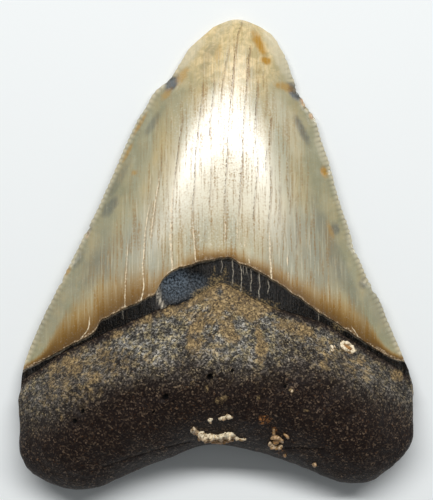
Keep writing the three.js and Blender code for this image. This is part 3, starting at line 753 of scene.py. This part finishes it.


# Root: fossil bone, porous and stained nearly black by phosphate, with tan silt in its pores and
# along the gum line. It gives a grainy satin surface whose grains catch small glints. Its upper
# slope is paler, partly as dust and partly as painted light where the lamps fall on it, and its
# lower slope is painted darker as shade.
def linear(colour):
    """An sRGB hex colour as linear values: each part is undone by the sRGB curve."""
    parts = [int(colour[n:n + 2], 16) / 255 for n in (0, 2, 4)]
    return (*[p / 12.92 if p <= 0.04045 else ((p + 0.055) / 1.055) ** 2.4 for p in parts], 1.0)


def fill(tree, made, inputs):
    """Sets a node's inputs, each known by its place or its name, to values, sRGB colours or other
    nodes' outputs."""
    named = {socket.identifier: socket for socket in made.inputs}
    for key, value in inputs.items():
        socket = made.inputs[key] if isinstance(key, int) else named[key]
        if isinstance(value, bpy.types.NodeSocket):
            tree.links.new(value, socket)
        else:
            socket.default_value = linear(value) if isinstance(value, str) else value


def node(tree, kind, *inputs, out=0, **others):
    """Adds a node to a material and gives one of its outputs. Its first inputs stand in the node's
    own order, so a Map Range has its value, the two ends of its old range and the two ends of its
    new one, which are 0 and 1 where they are left out. Of the others, names with a capital are
    inputs and the rest are the node's settings."""
    made = tree.nodes.new("ShaderNode" + kind)
    for setting in [name for name in others if name.islower()]:
        setattr(made, setting, others.pop(setting))
    fill(tree, made, dict(enumerate(inputs)) | others)
    return made.outputs[out]


def finish(name, ior, marks_read):
    """A new material: its nodes, its shader, the place in millimetres, and the marks that it reads,
    by name."""
    material = bpy.data.materials.new(name)
    material.use_nodes = True
    tree = material.node_tree
    shader = tree.nodes["Principled BSDF"]
    fill(tree, shader, {"IOR": ior})
    in_mm = node(tree, "Mapping", node(tree, "TexCoord", out=3), Scale=(1 / MM, 1 / MM, 1 / MM))
    mark = {name: node(tree, "Attribute", out=2, attribute_name=name) for name in marks_read}
    return material, tree, shader, in_mm, mark


COLOURS = {"data_type": "RGBA", "out": 2}  # makes a Mix node mix colours and give out a colour

root_bone, tree, shader, in_mm, mark = finish(
    "mineralised_root_bone", 1.55, ["dust_and_light", "silt", "rust", "pit", "crease"])
# Its grains are 0.1 to 0.5 mm across, and drawn 0.36 mm so that they show. Each is as pale as
# chance makes it.
chance = node(tree, "SeparateColor", node(tree, "TexVoronoi", in_mm, Scale=1 / 0.36, out=1))
fine = node(tree, "TexNoise", in_mm, Scale=1 / 0.68, Detail=3.0, Roughness=0.6, Distortion=0.9)
clumps = node(tree, "TexNoise", in_mm, Scale=1 / 1.5, Detail=3.0, Roughness=0.6)
mottle = node(tree, "TexNoise", in_mm, Scale=1 / 4.0, Detail=4.0, Roughness=0.65, Distortion=0.8)
grit = node(tree, "MapRange", fine, 0.49, 0.575)
# Where the dust_and_light mark is small, low on the root, only a few grains are pale. Where it is
# large, on the upper slope, most of them are, as dust and as painted light.
rarity = node(tree, "MapRange", mark["dust_and_light"], 0, 1, 5.6, 2.3)
rare = node(tree, "Math", chance, rarity, operation="POWER")
cloudy = node(tree, "MapRange", mottle, 0.43, 0.61, 0.08)
lively = node(tree, "MapRange", clumps, 0.38, 0.64, 0.35, 1.5)
# Lone pale grains are partly tan grains and partly painted glints: reflections drawn into the
# colour.
lone_grains_and_glints = node(tree, "Math", rare, lively, operation="MULTIPLY")
laid = node(tree, "MapRange", grit, 0, 1, 0.06, 0.9)
coat = node(tree, "Math", laid, cloudy, operation="MULTIPLY")
coated = node(tree, "Math", coat, mark["dust_and_light"], operation="MULTIPLY")
specks_and_glints = node(tree, "Math", lone_grains_and_glints, 0.6, coated, operation="MULTIPLY_ADD", use_clamp=True)
warmth = node(tree, "MapRange", clumps, 0.44, 0.6)
# The pale grains' grey-white tone high on the root stands for dust and for painted light there.
dust_and_light_tone = node(tree, "Mix", warmth, A_Color="c2bdb3", B_Color="d0be94", **COLOURS)
pale = node(tree, "Mix", mark["dust_and_light"], A_Color="836d58", B_Color=dust_and_light_tone, **COLOURS)
dark = node(tree, "Mix", mark["dust_and_light"], A_Color="160804", B_Color="1a1713", **COLOURS)
gathered = node(tree, "Math", clumps, 0.9, mark["silt"], operation="MULTIPLY_ADD")
grainy_silt = node(tree, "Math", fine, 0.35, gathered, operation="MULTIPLY_ADD")
silt_part = node(tree, "MapRange", grainy_silt, 0.82, 1.36, 0, 0.9, interpolation_type="SMOOTHSTEP")
shaded = node(tree, "MapRange", fine, 0.4, 0.6)
silt_tone = node(tree, "Mix", shaded, A_Color="473826", B_Color="b99d6e", **COLOURS)
rusty = node(tree, "Math", fine, 1.6, mark["rust"], operation="MULTIPLY_ADD")
rust_cover = node(tree, "MapRange", rusty, 1.0, 1.85)
rust_part = node(tree, "Math", rust_cover, laid, operation="MULTIPLY")
# Pits and creases are painted near-black: painted shade in the hollows.
pit_shade = node(tree, "MapRange", mark["pit"], 0.0, 0.25)
crease_shade = node(tree, "MapRange", mark["crease"], 0.3, 0.08, 0, 0.75)
deep = node(tree, "Math", pit_shade, crease_shade, operation="MAXIMUM")
tone = dark
for part, stain in ((specks_and_glints, pale), (silt_part, silt_tone), (rust_part, "b87a40"), (deep, "030202")):
    tone = node(tree, "Mix", part, A_Color=tone, B_Color=stain, **COLOURS)
dull = node(tree, "MapRange", specks_and_glints, 0, 1, 0.6, 0.42)
rough = node(tree, "Math", deep, dull, operation="ADD")
height = node(tree, "Math", grit, 0.35, clumps, operation="MULTIPLY_ADD")
bump = node(tree, "Bump", Height=height, Distance=0.35 * MM)
fill(tree, shader, {
    "Base Color": tone, "Roughness": rough, "Specular IOR Level": 0.2, "Normal": bump})

# Gum-line band: dentine laid bare where the gum was, stained black, fluted lengthwise and naturally
# polished. One broad scar in it has a blue-grey sheen, and thin crooked lines of white lime cross
# it.
gum_band, tree, shader, in_mm, mark = finish(
    "bare_gum_line_dentine", 1.56, ["blue", "silt", "lime", "lime_strength", "scar_rim", "gum"])
flutes = node(tree, "Mapping", in_mm, Rotation=(0, 0, 0.06), Scale=(1 / 0.4, 1 / 4, 1 / 4))
fluting = node(tree, "TexNoise", flutes, Scale=1.0, Detail=3.0)
speckle = node(tree, "TexNoise", in_mm, Scale=1 / 0.5, Detail=3.0, Roughness=0.7)
bends = node(tree, "TexNoise", in_mm, Scale=1 / 1.8, Detail=2.0)
ridge = node(tree, "MapRange", fluting, 0.45, 0.75)
flecks = node(tree, "MapRange", speckle, 0.52, 0.7, 0, 0.5)
glint = node(tree, "MapRange", speckle, 0.42, 0.62)
blue_tone = node(tree, "Mix", glint, A_Color="141a20", B_Color="626d77", **COLOURS)
gathered = node(tree, "Math", mark["silt"], 0.55, speckle, operation="MULTIPLY_ADD")
silted = node(tree, "MapRange", gathered, 0.7, 1.02, 0, 0.85)
silt_tone = node(tree, "Mix", glint, A_Color="30271c", B_Color="927e58", **COLOURS)
shaken = node(tree, "Math", bends, 0.9, -0.45, operation="MULTIPLY_ADD")
lime_away = node(tree, "Math", mark["lime"], shaken, operation="ADD")
lime_off = node(tree, "Math", lime_away, operation="ABSOLUTE")
lime_line = node(tree, "MapRange", lime_off, 0.15, 0.04, 0, 0.6)
limed = node(tree, "Math", lime_line, mark["lime_strength"], operation="MULTIPLY")
lip = node(tree, "MapRange", mark["gum"], -0.7, -0.3, 0, 0.2)
edged = node(tree, "Math", mark["scar_rim"], lip, operation="MAXIMUM")
line_part = node(tree, "Math", limed, edged, operation="MAXIMUM")
broken = node(tree, "MapRange", speckle, 0.36, 0.5, 0.1)
whites = node(tree, "Math", line_part, broken, operation="MULTIPLY", use_clamp=True)
tone = node(tree, "Mix", ridge, A_Color="030302", B_Color="23201c", **COLOURS)
layers = [(flecks, "3d3022"), (mark["blue"], blue_tone), (silted, silt_tone), (whites, "d8ccb6")]
for part, stain in layers:
    tone = node(tree, "Mix", part, A_Color=tone, B_Color=stain, **COLOURS)
rough = node(tree, "MapRange", silted, 0, 1, 0.25, 0.7)
height = node(tree, "Math", fluting, speckle, operation="ADD")
bump = node(tree, "Bump", Height=height, Distance=0.1 * MM)
fill(tree, shader, {
    "Base Color": tone, "Roughness": rough, "Specular IOR Level": 0.1, "Normal": bump})

# Crown: enamel, nearly pure mineral and naturally glossy. It is grey-olive to cream with fine
# lengthwise streaks, amber above the gum line, cracked lengthwise, and worn dull where it is most
# exposed.
enamel, tree, shader, in_mm, mark = finish("fossil_enamel", 1.62, [
    "inside", "gum", "amber_reach", "tip", "haze", "slate", "pale", "amber", "orange", "worn",
    "polish", "grainy", "groove", "crack", "crack_dark", "crack_lime"])
LEAN = -0.03
STREAKS = [  # width, length, detail, roughness
    (0.45, 9, 3.0, 0.6), (0.6, 12, 2.0, 0.6), (3.5, 16, 3.0, 0.5),
]
lengthwise = []
for width, length, detail, roughness in STREAKS:
    scale = (1 / width, 1 / length, 1 / length)
    at = node(tree, "Mapping", in_mm, Rotation=(0, 0, LEAN), Scale=scale)
    lengthwise.append(node(tree, "TexNoise", at, Scale=1.0, Detail=detail, Roughness=roughness))
streak, line, broad = lengthwise
cloud = node(tree, "TexNoise", in_mm, Scale=1 / 5, Detail=4.0)
speckle = node(tree, "TexNoise", in_mm, Scale=1 / 0.45, Detail=3.0, Roughness=0.7)
dots = node(tree, "TexNoise", in_mm, Scale=1 / 0.7, Detail=1.0)
# The body's colour: paler in the middle, partly its own cream and partly a painted glare, smooth
# and greyer along the flanks, with a pale rim at the cutting edges.
tans = node(tree, "MapRange", broad, 0.35, 0.65)
inward = node(tree, "MapRange", mark["inside"], 8.0, 19.0, interpolation_type="SMOOTHSTEP")
upward = node(tree, "MapRange", mark["gum"], 5.0, 18.0, 0.2, 0.9, interpolation_type="SMOOTHSTEP")
middle = node(tree, "Math", inward, upward, operation="MULTIPLY")
flank_in = node(tree, "MapRange", mark["inside"], 9.5, 4.5, interpolation_type="SMOOTHSTEP")
flank_out = node(tree, "MapRange", mark["inside"], 0.1, 1.3, interpolation_type="SMOOTHSTEP")
flank = node(tree, "Math", flank_in, flank_out, operation="MULTIPLY")
clouded = node(tree, "MapRange", cloud, 0.36, 0.64, 0.3, 0.95)
flank_part = node(tree, "Math", flank, clouded, operation="MULTIPLY")
rim = node(tree, "MapRange", mark["inside"], 1.5, 0.2, 0, 0.6)
tone = node(tree, "Mix", tans, A_Color="b0ae93", B_Color="c3b184", **COLOURS)
for part, stain in ((middle, "f4ecd2"), (flank_part, "9a987a"), (rim, "e4dcc2")):
    tone = node(tree, "Mix", part, A_Color=tone, B_Color=stain, **COLOURS)
# Stains: amber feathers up from the gum line along the streaks, the tip is mottled tan, and the
# rest are patches.
feather = node(tree, "Math", streak, -0.3, mark["amber_reach"], operation="MULTIPLY_ADD")
feathered = node(tree, "Math", line, -0.35, feather, operation="MULTIPLY_ADD")
amber_part = node(tree, "MapRange", feathered, 0.72, -0.16, 0, 0.9, interpolation_type="SMOOTHSTEP")
amber_low = node(tree, "MapRange", mark["amber_reach"], 0.0, 0.55)
amber_tone = node(tree, "Mix", amber_low, A_Color="553409", B_Color="9a7029", **COLOURS)
blotch = node(tree, "TexNoise", in_mm, Scale=1 / 2.4, Detail=4.0, Roughness=0.65, Distortion=0.5)
blotched = node(tree, "MapRange", blotch, 0.4, 0.6)
tip_tone = node(tree, "Mix", blotched, A_Color="f6dca6", B_Color="cbb885", **COLOURS)
shade = node(tree, "MapRange", streak, 0.25, 0.75, 0.75, 1.25)
# The pale stain is partly pale enamel and partly painted highlight on the upper right flank.
stains = [  # mark, colour, strength
    ("haze", "949382", 0.65), ("tip", tip_tone, 0.85), ("slate", "50575a", 0.85),
    ("pale", "e2d9bc", 0.8), ("amber", "bd8c2e", 0.95), ("orange", "dba06c", 0.85),
]
for name, stain, strength in stains:
    uneven = node(tree, "Math", mark[name], shade, operation="MULTIPLY")
    part = node(tree, "Math", uneven, strength, operation="MULTIPLY", use_clamp=True)
    tone = node(tree, "Mix", part, A_Color=tone, B_Color=stain, **COLOURS)
# Fine brown streaks and pale ones run lengthwise, fewer on the flanks. They are 0.1 mm wide, drawn
# about 0.3 mm.
streaky = node(tree, "MapRange", mark["inside"], 3.0, 10.0, 0.15)
brown_line = node(tree, "MapRange", line, 0.53, 0.61, 0, 0.65)
brown_dots = node(tree, "MapRange", speckle, 0.4, 0.6, 0.3)
brown_some = node(tree, "Math", brown_line, brown_dots, operation="MULTIPLY")
brown_part = node(tree, "Math", brown_some, streaky, operation="MULTIPLY")
pale_line = node(tree, "MapRange", streak, 0.46, 0.34, 0, 0.4)
pale_part = node(tree, "Math", pale_line, streaky, operation="MULTIPLY")
# Pits in the worn polish are 0.2 mm across and drawn 0.4 mm, some stained brown and some pale; the
# white ones are also painted sparkle.
pitted = node(tree, "MapRange", speckle, 0.52, 0.64)
pit_amount = node(tree, "Math", mark["grainy"], 0.45, 0.12, operation="MULTIPLY_ADD")
pit_part = node(tree, "Math", pitted, pit_amount, operation="MULTIPLY")
pale_pits_and_sparkle = node(tree, "MapRange", speckle, 0.42, 0.32)
pale_pits_and_sparkle_amount = node(tree, "Math", mark["grainy"], 0.7, 0.12, operation="MULTIPLY_ADD")
fleck_part = node(tree, "Math", pale_pits_and_sparkle, pale_pits_and_sparkle_amount, operation="MULTIPLY")
# The serrations' grooves are painted darker: painted shade in the grooves near the cutting edges.
groove_shade = node(tree, "Math", mark["groove"], 0.8, operation="MULTIPLY", use_clamp=True)
chipped = node(tree, "TexNoise", in_mm, Scale=1 / 2.2, Detail=3.0, Roughness=0.6)
lip_at = node(tree, "Math", chipped, 2.6, -1.0, operation="MULTIPLY_ADD")
lip_in = node(tree, "Math", lip_at, mark["gum"], operation="SUBTRACT")
lip = node(tree, "MapRange", lip_in, -0.1, 0.1)
broken = node(tree, "MapRange", speckle, 0.45, 0.6, 0, 0.9)
lip_part = node(tree, "Math", lip, broken, operation="MULTIPLY")
# Cracks are 0.15 to 0.3 mm wide, drawn about a pixel wide so that they show. They are dark and
# broken into dots, filled with white lime lower down, and brown has crept out of each, most on its
# right side.
shaken = node(tree, "Math", speckle, 0.5, -0.25, operation="MULTIPLY_ADD")
away = node(tree, "Math", mark["crack"], shaken, operation="ADD")
off = node(tree, "Math", away, operation="ABSOLUTE")
crack_line = node(tree, "MapRange", off, 0.115, 0.03)
crack_dots = node(tree, "MapRange", dots, 0.45, 0.53, 0.15)
dark_line = node(tree, "Math", crack_line, mark["crack_dark"], operation="MULTIPLY")
dark_part = node(tree, "Math", dark_line, crack_dots, operation="MULTIPLY", use_clamp=True)
crept = node(tree, "Math", away, -0.3, operation="ADD")
crept_off = node(tree, "Math", crept, operation="ABSOLUTE")
crept_line = node(tree, "MapRange", crept_off, 0.27, 0.08)
stained = node(tree, "Math", mark["crack_dark"], mark["crack_lime"], operation="MAXIMUM")
stain_line = node(tree, "Math", stained, crept_line, operation="MULTIPLY")
stain_some = node(tree, "MapRange", cloud, 0.35, 0.6, 0.2, 0.65)
stain_part = node(tree, "Math", stain_line, stain_some, operation="MULTIPLY")
lime_width = node(tree, "Math", mark["crack_lime"], 0.31, operation="MULTIPLY")
lime_in = node(tree, "Math", lime_width, off, operation="SUBTRACT")
lime_line = node(tree, "MapRange", lime_in, -0.02, 0.08)
lime_gaps = node(tree, "MapRange", dots, 0.42, 0.56, 0.3)
lime_part = node(tree, "Math", lime_line, lime_gaps, operation="MULTIPLY")
layers = [
    (pale_part, "e4dcc0"), (brown_part, "946f3a"), (amber_part, amber_tone), (pit_part, "a57838"),
    (fleck_part, "f8f2e2"), (groove_shade, "5d5a48"), (lip_part, "cfb898"), (stain_part, "80562a"),
    (dark_part, "553316"), (lime_part, "f3e2c0"),
]
for part, stain in layers:
    tone = node(tree, "Mix", part, A_Color=tone, B_Color=stain, **COLOURS)
worn_part = node(tree, "Math", mark["worn"], 0.24, 0.22, operation="MULTIPLY_ADD")
rough = node(tree, "Math", dark_part, 0.5, worn_part, operation="MULTIPLY_ADD")
# A thin hard polish lies over it, except where the crown is worn or cracked, and near the gum line.
unworn = node(tree, "Math", mark["worn"], -0.22, mark["polish"], operation="MULTIPLY_ADD")
unpitted = node(tree, "Math", pitted, -0.9, unworn, operation="MULTIPLY_ADD")
unlined = node(tree, "Math", brown_part, -0.7, unpitted, operation="MULTIPLY_ADD")
polished = node(tree, "Math", unlined, dark_part, operation="SUBTRACT", use_clamp=True)
fine_height = node(tree, "Math", speckle, 0.8, streak, operation="MULTIPLY_ADD")
crack_height = node(tree, "Math", crack_line, stained, operation="MULTIPLY")
height = node(tree, "Math", crack_height, -1.5, fine_height, operation="MULTIPLY_ADD")
bump = node(tree, "Bump", Height=height, Distance=0.04 * MM)
fill(tree, shader, {
    "Base Color": tone, "Roughness": rough, "Specular IOR Level": 0.1, "Coat Weight": polished,
    "Coat Roughness": 0.2, "Coat IOR": 1.73, "Normal": bump})
for material in (root_bone, gum_band, enamel):
    tooth_mesh.materials.append(material)

# Crusts: limy tubes of small worms and one small barnacle, which grew on the root while it lay on
# the sea bed. They are fused to the bone, and each is a lumpy tube or ring, about half sunk in it.
TUBES = [  # points (x, y), radius, how far its colour is from white to tan
    ([(-6.2, -45.7), (-5.7, -44.8), (-5.1, -44.5)], 0.85, 0.4),
    ([(-5.8, -44.6), (-4.9, -45.7), (-3.8, -46.4)], 0.75, 0.6),
    ([(-4.5, -45.7), (-3.1, -46.4), (-1.4, -46.7), (0.4, -46.9)], 1.15, 0.1),
    ([(-0.4, -46.8), (1.4, -46.6), (3.1, -46.1), (5.1, -46.4)], 1.2, 0.05),
    ([(-4.7, -47.2), (-2, -47.8), (1.6, -48), (4.7, -47.5)], 0.75, 0.75),
    ([(4.3, -46.7), (6.1, -47.4), (7.8, -47.4)], 0.55, 0.2),
    ([(-1.8, -42.7), (-1.4, -42.3), (-1, -42.5)], 0.75, 0.1),
    ([(0.6, -41.8), (1.9, -41.5), (3.3, -41.2), (4.3, -41.6)], 0.7, 0.2),
    ([(14.6, -44.4), (14.8, -45.6), (15, -46.6)], 0.4, 0.8),
    ([(17.2, -45.7), (18.1, -46.4), (18.5, -47.2)], 0.35, 0.8),
    ([(17.2, -51.8), (18, -51.5)], 0.8, 0.9),
    ([(24.7, -54.2), (25.8, -53.9)], 0.75, 0.7),
    ([(32.9, -23.6), (33.9, -24.2), (34.9, -24.9)], 0.55, 1),
    ([(13.9, -47.2), (15, -46.8), (16.4, -47.3), (17.2, -48.4)], 0.7, 0.75),
    ([(13.7, -48), (14.5, -49.1), (15.8, -49.5), (17, -49)], 0.75, 0.5),
    ([(14.5, -48.1), (15.5, -48.1), (16.1, -48.2)], 0.7, 0.9),
    ([(29.4, -23.4), (29.9, -24.3), (29.7, -25)], 0.5, 0.15),
    ([(30.3, -23.5), (30.5, -24.2)], 0.35, 0.5),
    ([(18.9, -34.6), (19.4, -34.8)], 0.4, 0.45),
]
RINGS = [  # x, y, half length, half width, turn, tube radius, colour
    (33.9, -24.2, 1.75, 0.8, -32, 0.52, 0.1),
]
TUBE_RINGS, TUBE_SIDES = 64, 30
RAISED, FLATTENED = 0.15, 0.9  # how far a tube's middle is over the bone, and its height, as shares
crust_points, crust_faces, crust_tints_and_shade = [], [], []


def crust(centre, radius, tint, looped, seed):
    """A lumpy tube carried along a line of places on the root: circles square to the line, swollen
    here and there, and less so where it closes in a ring. Its lower side, turned from the lamps, is
    painted browner as shade."""
    x, y = centre
    turn = np.arctan2(np.gradient(y), np.gradient(x))
    rim = from_line(root_rim, x, y)
    floor = inner_height(x, y, rim)
    angle = np.arange(TUBE_SIDES) * 2 * np.pi / TUBE_SIDES
    x, y, turn, floor, radius = [value[:, None] for value in (x, y, turn, floor, radius)]
    over = [x - np.sin(turn) * radius * np.cos(angle), y + np.cos(turn) * radius * np.cos(angle),
            radius * np.sin(angle)]
    lumps = 0.5 * unevenness(0.8, seed, *over) + 0.4 * unevenness(0.42, seed + 1, *over)
    r = radius * (1 + lumps * (0.8 if looped else 1))
    px = x - np.sin(turn) * r * np.cos(angle)
    py = y + np.cos(turn) * r * np.cos(angle)
    pz = floor + RAISED * radius + r * np.sin(angle) * FLATTENED
    start = sum(len(p) for p in crust_points)
    grid = start + np.arange(px.size).reshape(px.shape)
    crust_points.append(np.stack([px, py, pz], -1).reshape(-1, 3))
    along_tube = np.vstack([grid, grid[:1]]) if looped else grid
    ring = np.hstack([along_tube, along_tube[:, :1]])
    crust_faces.extend(cells(ring).tolist())
    if not looped:
        crust_faces.extend([grid[0][::-1].tolist(), grid[-1].tolist()])
    painted_shade = smooth((0.75 - 0.6 * (py - y) / r - 0.8 * np.sin(angle)) / 1.1)
    crust_tints_and_shade.append(np.clip(tint + 0.6 * painted_shade, 0, 1).ravel())


for n, (path, radius, tint) in enumerate(TUBES):
    t = np.linspace(0, len(path) - 1, TUBE_RINGS)
    centre = [along([(k, p[axis]) for k, p in enumerate(path)], t) for axis in (0, 1)]
    ends = np.sqrt(1 - np.linspace(-0.995, 0.995, TUBE_RINGS) ** 2) ** 0.7
    crust(centre, radius * ends, tint, False, 300 + 5 * n)
for n, (cx, cy, long, wide, turn, radius, tint) in enumerate(RINGS):
    a = np.linspace(0, 2 * np.pi, TUBE_RINGS, endpoint=False)
    c, s = np.cos(np.radians(turn)), np.sin(np.radians(turn))
    ex, ey = long * np.cos(a), wide * np.sin(a)
    centre = [cx + ex * c - ey * s, cy + ex * s + ey * c]
    crust(centre, np.full(TUBE_RINGS, radius), tint, True, 400 + 5 * n)

crust_mesh = bpy.data.meshes.new("crust_surface")
crust_mesh.from_pydata((np.concatenate(crust_points) * MM).tolist(), [], crust_faces)
crust_mesh.polygons.foreach_set("use_smooth", np.ones(len(crust_mesh.polygons), bool))
crust_mesh.attributes.new("tint", "FLOAT", "POINT").data.foreach_set(
    "value", np.concatenate(crust_tints_and_shade).astype(np.float32))
crust_mesh.update()
crusts = placed("sea_crusts", crust_mesh)
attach(crusts, "root")

# Calcite shell, chalky cream to tan, finely pitted.
shell, tree, shader, in_mm, mark = finish("calcite_crust", 1.58, ["tint"])
flecks = node(tree, "TexNoise", in_mm, Scale=1 / 0.8, Detail=3.0)
fleck_part = node(tree, "MapRange", flecks, 0.36, 0.5)
# The tint mark holds each tube's own colour and the painted shade of its lower side.
body = node(tree, "Mix", mark["tint"], A_Color="fff0cf", B_Color="a87638", **COLOURS)
tone = node(tree, "Mix", fleck_part, A_Color="80602e", B_Color=body, **COLOURS)
bump = node(tree, "Bump", Height=flecks, Distance=0.25 * MM)
fill(tree, shader, {"Base Color": tone, "Roughness": 0.38, "Normal": bump})
crust_mesh.materials.append(shell)

# Floor, light and camera: a pale matt floor, a pale room, and soft panels whose reflections lie on
# the crown.
FLOOR_SIZE = 3.0  # in metres
floor_mesh = bpy.data.meshes.new("floor_surface")
corners = np.array([(-1, -1, 0), (1, -1, 0), (1, 1, 0), (-1, 1, 0)]) * FLOOR_SIZE / 2
floor_mesh.from_pydata(corners.tolist(), [], [(0, 1, 2, 3)])
floor = placed("floor", floor_mesh)
floor_material = bpy.data.materials.new("matt_board")
floor_material.use_nodes = True
floor_tree = floor_material.node_tree
fill(floor_tree, floor_tree.nodes["Principled BSDF"], {"Base Color": "f7fafa", "Roughness": 0.9})
floor_mesh.materials.append(floor_material)

room = bpy.data.worlds.new("room")
bpy.context.scene.world = room
room.use_nodes = True
fill(room.node_tree, room.node_tree.nodes["Background"], {"Color": "f2f6f8", "Strength": 0.2})

PANELS = [  # name, place in metres, width, height, power in watts
    ("main_panel", (0.016, 0.36, 0.70), 1.12, 0.12, 6.2),
    ("upper_panel", (0.03, 0.455, 0.70), 0.80, 0.07, 0.35),
]
for name, place, width, height, power in PANELS:
    light = bpy.data.lights.new(name, "AREA")
    light.shape = "RECTANGLE"
    light.size, light.size_y, light.energy = width, height, power
    lamp = placed(name, light)
    lamp.location = place
    lamp.rotation_euler = (-lamp.location).to_track_quat("-Z", "Y").to_euler()

# The camera's height, the height that it draws to scale, a pixel there in metres, the picture's
# height in pixels, the sensor in millimetres, and the place at the picture's middle.
CAMERA_HEIGHT, SEEN_AT, PIXEL, IMAGE_HEIGHT, SENSOR = 0.62, 0.006, 0.26 * MM, 500, 36
MIDDLE_X, MIDDLE_Y = 0.18 * MM, 0.91 * MM
camera_data = bpy.data.cameras.new("camera")
camera_data.sensor_width = SENSOR
camera_data.lens = SENSOR * (CAMERA_HEIGHT - SEEN_AT) / (PIXEL * IMAGE_HEIGHT)
camera = placed("camera", camera_data)
camera.location = (MIDDLE_X, MIDDLE_Y, CAMERA_HEIGHT)
bpy.context.scene.camera = camera
bpy.context.scene.view_settings.view_transform = "Standard"
